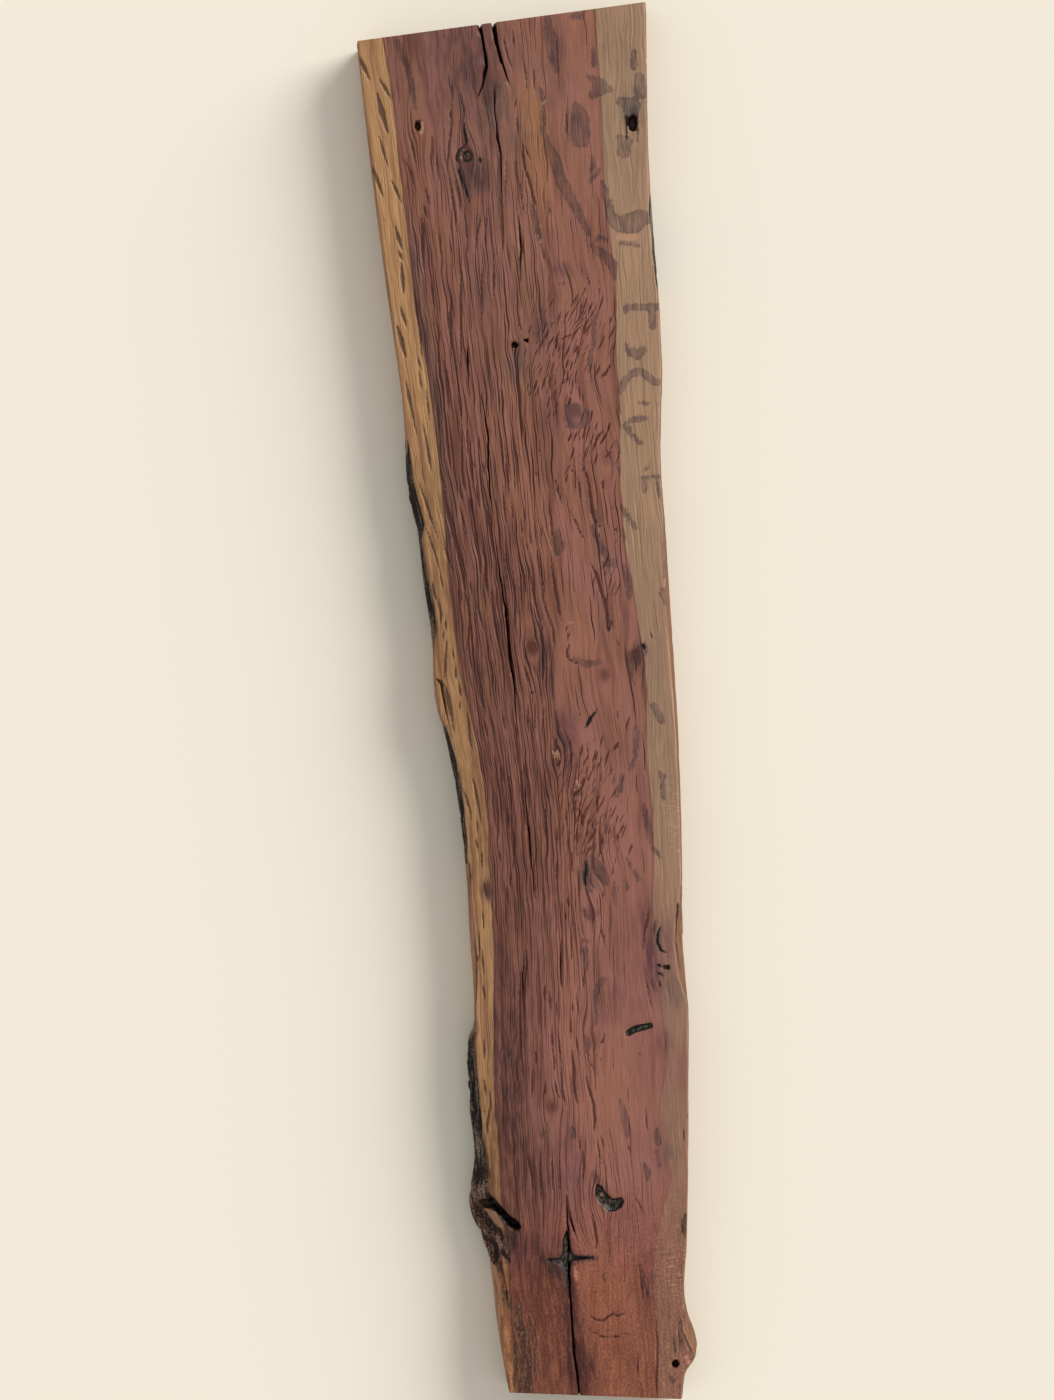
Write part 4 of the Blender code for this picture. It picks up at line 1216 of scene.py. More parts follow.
    def relief(self, across: np.ndarray, along: np.ndarray) -> np.ndarray:
        """How far the face lies below its plane: checks, holes, pockets and the sunk marks.

        Args:
            across: Places across the slab.
            along: Places along it.

        Returns:
            Millimetres.
        """
        depth = np.zeros(across.shape)
        for cut in (*(check for check in CHECKS if not check.on_back), *HOLES, *POCKETS):
            depth = np.maximum(depth, cut.sink(across, along))
        for mark in (mark for mark in MARKS if mark.sink):
            near = mark.near(across, along)
            inside = smooth(mark.field(across[near], along[near]), -0.4, 0.8)
            depth[near] = np.maximum(depth[near], mark.sink * inside)
        return np.minimum(depth, THICKNESS - self.least_left)

    def side_places(self, edge: LiveEdge, base: np.ndarray, inward: np.ndarray,
                    rim: np.ndarray) -> np.ndarray:
        """Points down one side, from the face to the back.

        Args:
            edge: The side.
            base: Plan points of its widest line.
            inward: Unit vectors that lead in from it.
            rim: How far the face's edge is sunk there.

        Returns:
            Rows by depths by (across, along, up).
        """
        down = np.array(self.side_depths)[None, :]
        down = rim[:, None] + down * (1 - rim[:, None] / THICKNESS)
        inset = edge.inset(base[:, 1][:, None], down)
        plan = base[:, None, :] + inward[:, None, :] * inset[..., None]
        return np.concatenate([plan, (THICKNESS - down)[..., None]], axis=-1)

    def back_places(self, left: np.ndarray, right: np.ndarray) -> np.ndarray:
        """Points of the sawn back, from right to left, with its own checks.

        Args:
            left: The back's left edge at each row.
            right: Its right edge at each row.

        Returns:
            Rows by columns by (across, along, up).
        """
        share = np.linspace(1, 0, self.back_columns)
        plan = left[:, None, :] + (right - left)[:, None, :] * share[None, :, None]
        across, along = plan[..., 0].copy(), plan[..., 1]
        up = np.zeros(across.shape)
        for check in CHECKS:
            if not check.on_back:
                continue
            line = check.line(along[:, 0])
            ends = [place for _, place in check.route]
            near = smooth(along[:, 0], min(ends) - 45, min(ends) - 8) * smooth(
                -along[:, 0], -max(ends) - 45, -max(ends) - 8)
            column = int(np.argmin(np.abs(across.mean(0) - line.mean())))
            half = check.width / 2 * np.maximum(check.opening(along[:, 0]), 0.1)
            for step in (-1, 0, 1):
                target = line - step * half
                across[:, column + step] += (target - across[:, column + step]) * near
            inside = (np.arange(self.back_columns) == column)[None, :]
            up = np.where(inside, (check.depth * check.opening(along[:, 0]) * near)[:, None], up)
        plan = np.stack([across, along], axis=-1)
        return np.concatenate([plan, up[..., None]], axis=-1)

    def build(self) -> bpy.types.Object:
        """Makes the mesh with its materials' faces and the figure's attributes.

        Returns:
            The slab's object, in metres in the row frame.
        """
        share = self.row_shares()
        outer_left, outer_right = self.edge_points(self.left, share), self.edge_points(self.right, share)
        across = outer_right - outer_left
        across /= np.linalg.norm(across, axis=1)[:, None]
        ends = []
        for edge, outer, inward in ((self.left, outer_left, across), (self.right, outer_right, -across)):
            along = outer[:, 1]
            top = outer + inward * edge.inset(along, np.zeros(len(along)))[:, None]
            back = outer + inward * edge.inset(along, np.full(len(along), THICKNESS))[:, None]
            ends.append((top, back))
        (left_top, left_back), (right_top, right_back) = ends
        plan = self.face_places(left_top, right_top)
        sunk = self.relief(plan[..., 0], plan[..., 1])
        face = np.concatenate([plan, (THICKNESS - sunk)[..., None]], axis=-1)
        right_side = self.side_places(self.right, outer_right, -across, sunk[:, -1])
        back = self.back_places(left_back, right_back)
        left_side = self.side_places(self.left, outer_left, across, sunk[:, 0])[:, ::-1]
        loop = np.concatenate([face, right_side, back, left_side], axis=1)
        lowest, highest = (np.array(corner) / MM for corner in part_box("slab"))
        middle = (loop[..., :2].reshape(-1, 2).min(0) + loop[..., :2].reshape(-1, 2).max(0)) / 2
        shift = (lowest + highest)[:2] / 2 - middle
        places = loop.copy()
        places[..., :2] += shift
        LOG.info("moved by %s mm to the frame's middle", np.round(shift, 2))
        made = self.mesh_from(places.reshape(-1, 3) * MM, loop.shape[1])
        self.attach_fields(made, loop)
        return made

    def mesh_from(self, points: np.ndarray, wide: int) -> bpy.types.Object:
        """Joins the rows into quads, closes both ends and sorts the faces by material.

        Args:
            points: All points in metres, row by row.
            wide: How many points a row has.

        Returns:
            The object.
        """
        row, column = np.meshgrid(np.arange(self.rows - 1), np.arange(wide), indexing="ij")
        beside = (column + 1) % wide
        quads = np.stack([row * wide + column, row * wide + beside, (row + 1) * wide + beside,
                          (row + 1) * wide + column], axis=-1).reshape(-1, 4)
        side = len(self.side_depths)
        slot = np.full(wide, Skin.SIDE.value)
        slot[: self.face_columns + 1] = Skin.FACE.value
        slot[-2:] = Skin.FACE.value
        start = self.face_columns + side
        slot[start - 1: start + self.back_columns] = Skin.BACK.value
        slots = np.concatenate([np.tile(slot, self.rows - 1), [Skin.END.value] * 2])
        foot = list(range(wide))
        head = [(self.rows - 1) * wide + i for i in range(wide)]
        data = bpy.data.meshes.new("slab_wood")
        data.from_pydata(points.tolist(), [], [*quads.tolist(), foot[::-1], head])
        data.polygons.foreach_set("material_index", slots.astype(np.int32))
        builder = bmesh.new()
        builder.from_mesh(data)
        bmesh.ops.recalc_face_normals(builder, faces=builder.faces)
        builder.to_mesh(data)
        builder.free()
        data.polygons.foreach_set("use_smooth", np.ones(len(data.polygons), bool))
        data.set_sharp_from_angle(angle=self.crease)
        made = bpy.data.objects.new("slab_wood", data)
        bpy.context.scene.collection.objects.link(made)
        return made

    def attach_fields(self, made: bpy.types.Object, loop: np.ndarray) -> None:
        """Writes the figure's fields on the mesh's points, where the materials read them.

        Args:
            made: The slab's object.
            loop: Its points in slab millimetres, rows by columns.
        """
        across, along, up = loop[..., 0], loop[..., 1], loop[..., 2]
        marks = self.figure.mark_fields(across, along)
        left_sap = curve_through(SAP_LINE_LEFT, along) - across
        right_sap = across - curve_through(SAP_LINE_RIGHT, along)
        knots = self.figure.knot_field(across, along)
        casts = self.figure.casts(across, along)
        depth = THICKNESS - up
        # On the face this is how far it is sunk, and on the sides how deep in a furrow a point lies.
        sunk = np.where(across < 0, self.left.furrows(along, depth), self.right.furrows(along, depth))
        sunk[:, : self.face_columns] = depth[:, : self.face_columns]
        left_bark, right_bark = self.left.bark_cover(along, depth), self.right.bark_cover(along, depth)
        bark = np.where(across < 0, left_bark, right_bark)
        # Marks that reach an edge run a little way down the side and narrow as they go.
        rim = np.where(across < 0, depth[:, :1], depth[:, self.face_columns - 1: self.face_columns])
        lost = self.mark_loss * np.maximum(depth - rim - self.mark_run, 0)
        lost[:, : self.face_columns] = 0
        marks = {tone: field - lost for tone, field in marks.items()}
        fields = {
            "grain": self.figure.grain(across, along),
            "sapwood": np.stack([left_sap, right_sap, self.figure.ray_share(across, along)], axis=-1),
            "marks": np.stack([marks[Tone.LINE], marks[Tone.STAIN], marks[Tone.BLACK]], axis=-1),
            "casts": casts[..., :3],
            "tints": casts[..., 3:6],
            "figures": casts[..., 6:],
            # The knots' third field is pale callus wood with painted glints and painted highlights.
            "knots": np.stack([knots[..., 0], knots[..., 1], marks[Tone.PALE]], axis=-1),
            "sides": np.stack([sunk, bark, marks[Tone.BARK]], axis=-1),
        }
        for name, values in fields.items():
            layer = made.data.attributes.new(name, "FLOAT_VECTOR", "POINT")
            layer.data.foreach_set("vector", values.astype(np.float32).ravel())


class Skin(Enum):
    """The slab's surfaces, as material slots."""

    FACE = 0
    SIDE = 1
    BACK = 2
    END = 3


def linear(hex_colour: str) -> tuple[float, float, float, float]:
    """Turns an sRGB hex colour into linear light: the sRGB curve, undone for each channel.

    Args:
        hex_colour: Such as "#84584F".

    Returns:
        Red, green, blue and 1.
    """
    parts = [int(hex_colour[i: i + 2], 16) / 255 for i in (1, 3, 5)]
    return (*(c / 12.92 if c <= 0.04045 else ((c + 0.055) / 1.055) ** 2.4 for c in parts), 1.0)


Socket = bpy.types.NodeSocket
Value = Socket | float | tuple[float, ...]
Adder = Callable[..., Socket]  # add_node for one tree
COLOUR = {"output": 2, "data_type": "RGBA"}  # a Mix node that mixes colours
EASED = {"interpolation_type": "SMOOTHSTEP"}  # a MapRange node that starts and ends gently


def add_node(tree: bpy.types.NodeTree, kind: str, inputs: dict[str | int, Value] | tuple[Value, ...] = (),
             output: str | int = 0, **settings: object) -> Socket | None:
    """Adds a node with its settings and links.

    Args:
        tree: The material's node tree.
        kind: The node's type, after "ShaderNode".
        inputs: A link or a constant for each named input, or for the first ones in their order. A
            MapRange's are its value, from low, from high, to low and to high.
        output: The output to give back.
        **settings: The node's own options.

    Returns:
        The chosen output, or nothing from a node that has none.
    """
    node = tree.nodes.new("ShaderNode" + kind)
    for name, value in settings.items():
        setattr(node, name, value)
    pairs = inputs.items() if isinstance(inputs, dict) else enumerate(inputs)
    for key, value in pairs:
        if isinstance(value, bpy.types.NodeSocket):
            tree.links.new(value, node.inputs[key])
        else:
            node.inputs[key].default_value = value
    return node.outputs[output] if node.outputs else None


def read_fields(add: Adder, *names: str) -> list[bpy.types.bpy_prop_collection]:
    """Reads fields that the slab writes on its mesh.

    Args:
        add: Adds a node to the material.
        *names: The fields.

    Returns:
        The three values of each.
    """
    vectors = [add("Attribute", (), "Vector", attribute_name=name) for name in names]
    return [add("SeparateXYZ", (vector,)).node.outputs for vector in vectors]


def ragged(add: Adder, field: Socket, noise: Socket, rough: float, soft: Value) -> Socket:
    """A mask from a field in millimetres.

    Args:
        add: Adds a node to the material.
        field: Millimetres, positive inside.
        noise: What breaks the edge.
        rough: How far the edge moves at most, in millimetres.
        soft: Half the width over which the mask goes from 0 to 1.

    Returns:
        The mask.
    """
    moved = add("MapRange", (noise, 0.3, 0.7, -rough, rough))
    moved = add("Math", (field, moved), operation="ADD")
    moved = add("Math", (moved, soft), operation="DIVIDE")
    return add("MapRange", (moved, -1.0), **EASED)


@dataclass(frozen=True)
class Finish:
    """What every finish has: a name, a roughness, and a material made from its shader."""

    name: str = "finish"
    roughness: float = 0.8

    def shader(self, add: Adder) -> Socket:
        """Adds the finish's nodes, of which the last is its shader."""
        raise NotImplementedError

    def material(self) -> bpy.types.Material:
        """Builds the node material.

        Returns:
            The material.
        """
        made = bpy.data.materials.new(self.name)
        made.use_nodes = True
        made.node_tree.nodes.clear()
        add = partial(add_node, made.node_tree)
        add("OutputMaterial", {"Surface": self.shader(add)})
        return made


@dataclass(frozen=True)
class FleckLayer:
    """A scatter of lens-shaped ray flecks that lie along the grain, sizes in millimetres."""

    pitch: float
    run: float
    width: float
    length: float
    presence: float
    strength: float = 1.0

    def draw(self, add: Adder, grain: Socket, crowd: Value) -> Socket:
        """Draws the flecks.

        Each cell of a stretched Voronoi pattern holds one fleck at its own point. The mask is 1 less
        the sideways distance over a half width that falls to nothing at the fleck's two tips.

        Args:
            add: Adds a node to the material.
            grain: Grain coordinates in millimetres.
            crowd: How many of the cells hold a fleck, from 0 to 1.

        Returns:
            The mask.
        """
        stretched = add("Mapping", {"Vector": grain, "Scale": (1 / self.pitch, 1 / self.run, 1)})
        cell = add("TexVoronoi", {"Vector": stretched, "Scale": 1.0, "Randomness": 0.85}, "Position",
                   voronoi_dimensions="2D")
        off = add("VectorMath", (stretched, cell), operation="SUBTRACT")
        parts = add("SeparateXYZ", (off,)).node.outputs
        dice = add("SeparateXYZ", (cell.node.outputs["Color"],)).node.outputs
        # Lengths vary between 0.56 and 1.24 of the layer's own, widths between 0.5 and 1.5.
        long, wide = self.length / self.run, self.width / self.pitch
        half_run = add("MapRange", (dice[1], 0.0, 1.0, long * 0.28, long * 0.62))
        reach = add("Math", (parts[1], half_run), operation="DIVIDE")
        squared = add("Math", (reach, reach), operation="MULTIPLY")
        taper = add("Math", (1.0, squared), operation="SUBTRACT", use_clamp=True)
        half = add("MapRange", (dice[0], 0.0, 1.0, wide * 0.25, wide * 0.75))
        half = add("Math", (half, taper, 0.0005), operation="MULTIPLY_ADD")
        side = add("Math", (parts[0], half), operation="DIVIDE")
        side = add("Math", (side,), operation="ABSOLUTE")
        inside = add("MapRange", (side, 1.12, 0.45, 0.0, self.strength), **EASED)
        kept = add("Math", (crowd, self.presence), operation="MULTIPLY")
        shown = add("Math", (kept, dice[2]), operation="GREATER_THAN")
        return add("Math", (inside, shown), operation="MULTIPLY")


HEART_LAYERS = (
    FleckLayer(pitch=6.4, run=112, width=1.7, length=108, presence=0.95),
    FleckLayer(pitch=4.9, run=60, width=1.25, length=56, presence=0.75, strength=0.85),
    FleckLayer(pitch=19, run=140, width=2.2, length=140, presence=0.45),
    FleckLayer(pitch=2.9, run=84, width=1.0, length=80, presence=0.85, strength=0.65),
)
CURL_LAYERS = (
    FleckLayer(pitch=5.0, run=19, width=1.9, length=18, presence=0.85, strength=0.85),
    FleckLayer(pitch=3.4, run=11, width=1.2, length=11, presence=0.6, strength=0.6),
)
CURL_LEAN = math.radians(20)
# Noise patterns in the grain: millimetres across, millimetres along, octaves after the first.
GRAIN_NOISES = {
    "fibre": (0.9, 38, 2), "band": (3.4, 75, 2), "streak": (8, 190, 3), "cloud": (22, 90, 2),
    "mottle": (4.5, 20, 2), "crumb": (1.6, 5, 2), "speck": (2.0, 3.2, 2), "edge": (2.6, 22, 2),
    "tick": (11, 2.3, 1), "vein": (1.8, 130, 2),
}
WAVER = (12, 34, 0.9)  # how the grain wavers: millimetres across and along from one bend to the next, reach


@dataclass(frozen=True)
class OiledBuloke(Finish):
    """Planed and sanded buloke under a satin oil: deep red brown heartwood between pale sapwood."""

    name: str = "oiled_buloke"
    heart: str = "#8A5A45"
    heart_deep: str = "#6C4032"
    rose: str = "#986357"
    orange: str = "#A56C4B"
    fleck: str = "#45190C"
    left_sap: str = "#B18558"
    left_sap_deep: str = "#8F6241"
    right_sap: str = "#A17F63"
    right_sap_deep: str = "#8C6D54"
    sap_fleck: str = "#4E3322"
    blush: str = "#8E6353"
    edge_line: str = "#4A2B1E"
    tick: str = "#B39078"
    # Callus wood, and the colour of painted glints and painted highlights on lit arrises.
    pale: str = "#B5876A"
    resin: str = "#0F0A07"
    resin_light: str = "#504A3C"
    bark: str = "#2E1E15"
    bark_light: str = "#6E5540"
    # Painted shade for the inside of cracks, holes and pockets.
    hollow: str = "#33221A"
    foot_tint: tuple[float, ...] = (1.04, 0.88, 0.87)
    shade_tint: tuple[float, ...] = (0.42, 0.36, 0.36, 1)
    purple_tint: tuple[float, ...] = (0.47, 0.42, 0.62, 1)
    grey_tint: tuple[float, ...] = (0.50, 0.64, 0.74, 1)
    sap_stain: tuple[float, ...] = (0.45, 0.43, 0.56, 1)
    heart_stain: tuple[float, ...] = (0.43, 0.49, 0.60, 1)
    roughness: float = 0.46
    resin_roughness: float = 0.4
    gloss: float = 0.28  # how strongly the oil shines
    groove: float = -0.4  # millimetres by which flecks and hairlines rise
    foot: tuple[float, float] = (-500.0, -600.0)  # along the slab, where the redder end begins and is full

    def grain_noise(self, add: Adder, grain: Socket) -> tuple[Socket, dict[str, Socket]]:
        """Lets the grain waver and draws the noise patterns in it.

        Args:
            add: Adds a node to the material.
            grain: Grain coordinates in millimetres.

        Returns:
            The wavering coordinates, and the patterns.
        """
        wide, long, reach = WAVER
        waver = add("Mapping", {"Vector": grain, "Scale": (1 / wide, 1 / long, 1)})
        waver = add("TexNoise", {"Vector": waver, "Scale": 1.0, "Detail": 1.0}, "Fac", noise_dimensions="2D")
        waver = add("MapRange", (waver, 0.3, 0.7, -reach, reach))
        waver = add("CombineXYZ", (waver, 0.0, 0.0))
        grain = add("VectorMath", (grain, waver), operation="ADD")
        noise = {}
        for name, (wide, long, detail) in GRAIN_NOISES.items():
            place = add("Mapping", {"Vector": grain, "Scale": (1 / wide, 1 / long, 1)})
            noise[name] = add("TexNoise", {"Vector": place, "Scale": 1.0, "Detail": float(detail)}, "Fac",
                              noise_dimensions="2D")
        return grain, noise

    def ray_flecks(self, add: Adder, grain: Socket, rays: Socket, curls: Socket, darkness: Socket) -> Socket:
        """Draws all layers of flecks, each as crowded as its field says.

        Args:
            add: Adds a node to the material.
            grain: Wavering grain coordinates.
            rays: How crowded the long flecks are.
            curls: How crowded the short, leaning ones are.
            darkness: How dark all of them are.

        Returns:
            The mask.
        """
        leaning = add("Mapping", {"Vector": grain, "Rotation": (0, 0, CURL_LEAN)})
        flecks = None
        for layers, place, crowd in ((HEART_LAYERS, grain, rays), (CURL_LAYERS, leaning, curls)):
            for layer in layers:
                mask = layer.draw(add, place, crowd)
                flecks = mask if flecks is None else add("Math", (flecks, mask), operation="MAXIMUM")
        return add("Math", (flecks, darkness), operation="MULTIPLY")

    def heartwood(self, add: Adder, noise: dict[str, Socket], rosy: Socket, warm: Socket,
                  flecks: Socket) -> Socket:
        """Mixes the heartwood's colour.

        Args:
            add: Adds a node to the material.
            noise: The patterns in the grain.
            rosy: Where it turns rose.
            warm: Where it turns orange.
            flecks: The ray flecks' mask.

        Returns:
            The colour.
        """
        deep = add("Math", (noise["band"], noise["streak"]), operation="ADD")
        deep = add("MapRange", (deep, 0.86, 1.24), **EASED)
        patchy = add("MapRange", (noise["cloud"], 0.35, 0.65, -0.2, 0.35))
        rosy = add("Math", (patchy, rosy), operation="ADD", use_clamp=True)
        colour = linear(self.heart)
        tones = (self.heart_deep, self.rose, self.orange, self.fleck)
        for mask, tone in zip((deep, rosy, warm, flecks), tones):
            colour = add("Mix", {"Factor": mask, "A": colour, "B": linear(tone)}, **COLOUR)
        return colour

    def sapwood(self, add: Adder, heart: Socket, noise: dict[str, Socket], sap: Socket,
                blush: Socket) -> tuple[Socket, Socket]:
        """Lays both bands of sapwood over the heartwood, each with a thin dark line along its inner edge.

        Args:
            add: Adds a node to the material.
            heart: The heartwood's colour.
            noise: The patterns in the grain.
            sap: How far inside the left and the right sapwood a point lies, in millimetres.
            blush: Where the sapwood takes on the heartwood's colour, and its edge is lost.

        Returns:
            The colour, and where it is sapwood.
        """
        bands = (
            (sap[0], self.left_sap, self.left_sap_deep, noise["streak"], 0.5),
            (sap[1], self.right_sap, self.right_sap_deep, noise["vein"], 0.3),
        )
        colour, both = heart, None
        soft = add("Math", (blush, 5.0, 0.7), operation="MULTIPLY_ADD")
        for field, light, dark, pattern, line in bands:
            # The line's middle lies 1.2 mm outside the sapwood, and it is 3.6 mm wide at most.
            off = add("Math", (field, 1.2), operation="ADD")
            off = add("Math", (off,), operation="ABSOLUTE")
            lined = add("MapRange", (off, 1.8, 0.2, 0.0, line), **EASED)
            colour = add("Mix", {"Factor": lined, "A": colour, "B": linear(self.edge_line)}, **COLOUR)
            veined = add("MapRange", (pattern, 0.42, 0.74), **EASED)
            band = add("Mix", {"Factor": veined, "A": linear(light), "B": linear(dark)}, **COLOUR)
            band = add("Mix", {"Factor": blush, "A": band, "B": linear(self.blush)}, **COLOUR)
            inside = ragged(add, field, noise["edge"], 0.5, soft)
            colour = add("Mix", {"Factor": inside, "A": colour, "B": band}, **COLOUR)
            both = inside if both is None else add("Math", (both, inside), operation="MAXIMUM")
        return colour, both

    def casts(self, add: Adder, colour: Socket, broken: Socket, weights: tuple[Socket, ...]) -> Socket:
        """Darkens what is there, so that the figure stays to be seen in the soft casts.

        Args:
            add: Adds a node to the material.
            colour: The wood's colour.
            broken: What breaks the casts up.
            weights: Where the wood is shaded, purple and grey.

        Returns:
            The colour.
        """
        for weight, tint in zip(weights, (self.shade_tint, self.purple_tint, self.grey_tint)):
            amount = add("Math", (weight, broken), operation="MULTIPLY", use_clamp=True)
            colour = add("Mix", {"Factor": amount, "A": colour, "B": tint}, blend_type="MULTIPLY", **COLOUR)
        return colour

    def stains(self, add: Adder, colour: Socket, field: Socket, noise: dict[str, Socket], broken: Socket,
               in_sap: Socket) -> Socket:
        """Lays the stains, which are darkest along their outline and softer on heartwood.

        Args:
            add: Adds a node to the material.
            colour: The wood's colour.
            field: The stains' field in millimetres.
            noise: The patterns in the grain.
            broken: What breaks them up.
            in_sap: Where the wood is sapwood.

        Returns:
            The colour.
        """
        soft = add("Math", (in_sap, -0.7, 1.6), operation="MULTIPLY_ADD")
        stained = ragged(add, field, noise["crumb"], 1.0, soft)
        rim = add("MapRange", (field, 0.0, 2.5, 1.0, 0.72))
        stained = add("Math", (stained, rim), operation="MULTIPLY")
        stained = add("Math", (stained, broken), operation="MULTIPLY", use_clamp=True)
        tint = add("Mix", {"Factor": in_sap, "A": self.heart_stain, "B": self.sap_stain}, **COLOUR)
        return add("Mix", {"Factor": stained, "A": colour, "B": tint}, blend_type="MULTIPLY", **COLOUR)

    def knots(self, add: Adder, colour: Socket, dark: Socket, ring: Socket, wobble: Socket) -> Socket:
        """Darkens the knots, with rings a quarter of the radius apart.

        Args:
            add: Adds a node to the material.
            colour: The wood's colour.
            dark: How dark a knot is there.
            ring: Distance from its middle over its radius.
            wobble: What moves the rings.

        Returns:
            The colour.
        """
        rings = add("MapRange", (wobble, 0.3, 0.7, -0.1, 0.1))
        rings = add("Math", (ring, rings), operation="ADD")
        rings = add("Math", (rings, 24.0), operation="MULTIPLY")
        rings = add("Math", (rings,), operation="SINE")
        rings = add("MapRange", (rings, -1.0, 1.0, 0.5, 1.0))
        knotty = add("Math", (dark, rings), operation="MULTIPLY", use_clamp=True)
        return add("Mix", {"Factor": knotty, "A": colour, "B": linear(self.fleck)}, **COLOUR)

    def crust(self, add: Adder, colour: Socket, field: Socket, noise: dict[str, Socket]) -> Socket:
        """Lays bark and brown decay on the face, in crumbs of two tones.

        Args:
            add: Adds a node to the material.
            colour: The wood's colour.
            field: The bark's field in millimetres.
            noise: The patterns in the grain.

        Returns:
            The colour.
        """
        barky = ragged(add, field, noise["mottle"], 2.4, 1.4)
        barky = add("Math", (barky, 0.75), operation="MULTIPLY")
        flaky = add("Math", (noise["mottle"], noise["crumb"]), operation="ADD")
        flaky = add("MapRange", (flaky, 0.98, 1.24))
        crumbs = add("Mix", {"Factor": flaky, "A": linear(self.bark), "B": linear(self.bark_light)}, **COLOUR)
        return add("Mix", {"Factor": barky, "A": colour, "B": crumbs}, **COLOUR)

    def pockets(self, add: Adder, colour: Socket, noise: Socket, black: Socket, pale: Socket,
                sunk: Socket) -> tuple[Socket, Socket]:
        """Lays glassy resin, lighter in its middle, pale callus with painted glints and lit arrises, and
        painted shade inside cracks and holes.

        Args:
            add: Adds a node to the material.
            colour: The wood's colour.
            noise: What breaks their edges.
            black: The resin's field in millimetres.
            pale: The field of callus wood and of painted glints and painted highlights.
            sunk: Millimetres by which the face is sunk.

        Returns:
            The colour, and where it is resin.
        """
        resinous = ragged(add, black, noise, 0.4, 0.6)
        glassy = add("MapRange", (noise, 0.42, 0.66))
        within = add("MapRange", (black, 1.9, 3.2))
        glassy = add("Math", (glassy, within), operation="MULTIPLY")
        resin = {"Factor": glassy, "A": linear(self.resin), "B": linear(self.resin_light)}
        resin = add("Mix", resin, **COLOUR)
        colour = add("Mix", {"Factor": resinous, "A": colour, "B": resin}, **COLOUR)
        pale_and_glint = ragged(add, pale, noise, 0.5, 0.8)
        pale_and_glint = add("Math", (pale_and_glint, 0.7), operation="MULTIPLY")
        colour = add("Mix", {"Factor": pale_and_glint, "A": colour, "B": linear(self.pale)}, **COLOUR)
        # Painted shade: the deeper the face is sunk, the darker, except under resin or pale marks.
        hollow = add("MapRange", (sunk, 1.2, 4.5, 0.0, 0.95), **EASED)
        clean = add("Math", (resinous, pale_and_glint), operation="MAXIMUM")
        clean = add("Math", (1.0, clean), operation="SUBTRACT")
        hollow = add("Math", (hollow, clean), operation="MULTIPLY")
        return add("Mix", {"Factor": hollow, "A": colour, "B": linear(self.hollow)}, **COLOUR), resinous

    def redden_foot(self, add: Adder, colour: Socket, along: Socket, speck: Socket) -> Socket:
        """Makes the foot end redder, and speckled.

        Args:
            add: Adds a node to the material.
            colour: The wood's colour.
            along: Millimetres along the slab.
            speck: The specks' noise.

        Returns:
            The colour.
        """
        foot = add("MapRange", (along, *self.foot))
        speckled = add("MapRange", (speck, 0.32, 0.68, 0.76, 1.26))
        reddened = add("VectorMath", (colour, self.foot_tint), operation="MULTIPLY")
        reddened = add("VectorMath", (reddened, speckled), operation="MULTIPLY")
        return add("Mix", {"Factor": foot, "A": colour, "B": reddened}, **COLOUR)

    def shader(self, add: Adder) -> Socket:
        """Adds the face's nodes, from the wood outwards.

        Args:
            add: Adds a node to the material.

        Returns:
            The shader.
        """
        grain = add("Attribute", (), "Vector", attribute_name="grain")
        _, along, darkness = add("SeparateXYZ", (grain,)).node.outputs
        sap, marks, casts, tints, figures, knots, sides = read_fields(
            add, "sapwood", "marks", "casts", "tints", "figures", "knots", "sides")
        grain, noise = self.grain_noise(add, grain)
        rays = add("Math", (1.0, figures[2]), operation="SUBTRACT", use_clamp=True)
        rays = add("Math", (rays, sap[2]), operation="MULTIPLY")
        flecks = self.ray_flecks(add, grain, rays, figures[0], darkness)
        colour = self.heartwood(add, noise, casts[1], tints[0], flecks)
        colour, in_sap = self.sapwood(add, colour, noise, sap, figures[1])
        broken = add("MapRange", (noise["mottle"], 0.3, 0.7, 0.6, 1.35))
        colour = self.casts(add, colour, broken, (casts[0], casts[2], tints[1]))
        # Fine light lines across the grain.
        ticks = add("MapRange", (noise["tick"], 0.5, 0.66, 0.0, 0.45), **EASED)
        ticks = add("Math", (ticks, tints[2]), operation="MULTIPLY", use_clamp=True)
        colour = add("Mix", {"Factor": ticks, "A": colour, "B": linear(self.tick)}, **COLOUR)
        colour = self.stains(add, colour, marks[1], noise, broken, in_sap)
        tone = add("Mix", {"Factor": in_sap, "A": linear(self.fleck), "B": linear(self.sap_fleck)}, **COLOUR)
        lined = ragged(add, marks[0], noise["crumb"], 0.4, 0.65)
        lined_most = add("Math", (lined, 0.85), operation="MULTIPLY")
        colour = add("Mix", {"Factor": lined_most, "A": colour, "B": tone}, **COLOUR)
        colour = self.knots(add, colour, knots[0], knots[1], noise["mottle"])
        colour = self.crust(add, colour, sides[2], noise)
        colour, resinous = self.pockets(add, colour, noise["crumb"], marks[2], knots[2], sides[0])
        shine = add("MapRange", (noise["fibre"], 0.25, 0.75, 0.84, 1.16))
        colour = add("VectorMath", (colour, shine), operation="MULTIPLY")
        colour = self.redden_foot(add, colour, along, noise["speck"])

        rough = add("MapRange", (noise["fibre"], 0.3, 0.7, self.roughness - 0.05, self.roughness + 0.07))
        rough = add("Mix", {"Factor": resinous, "A": rough, "B": self.resin_roughness}, data_type="FLOAT")
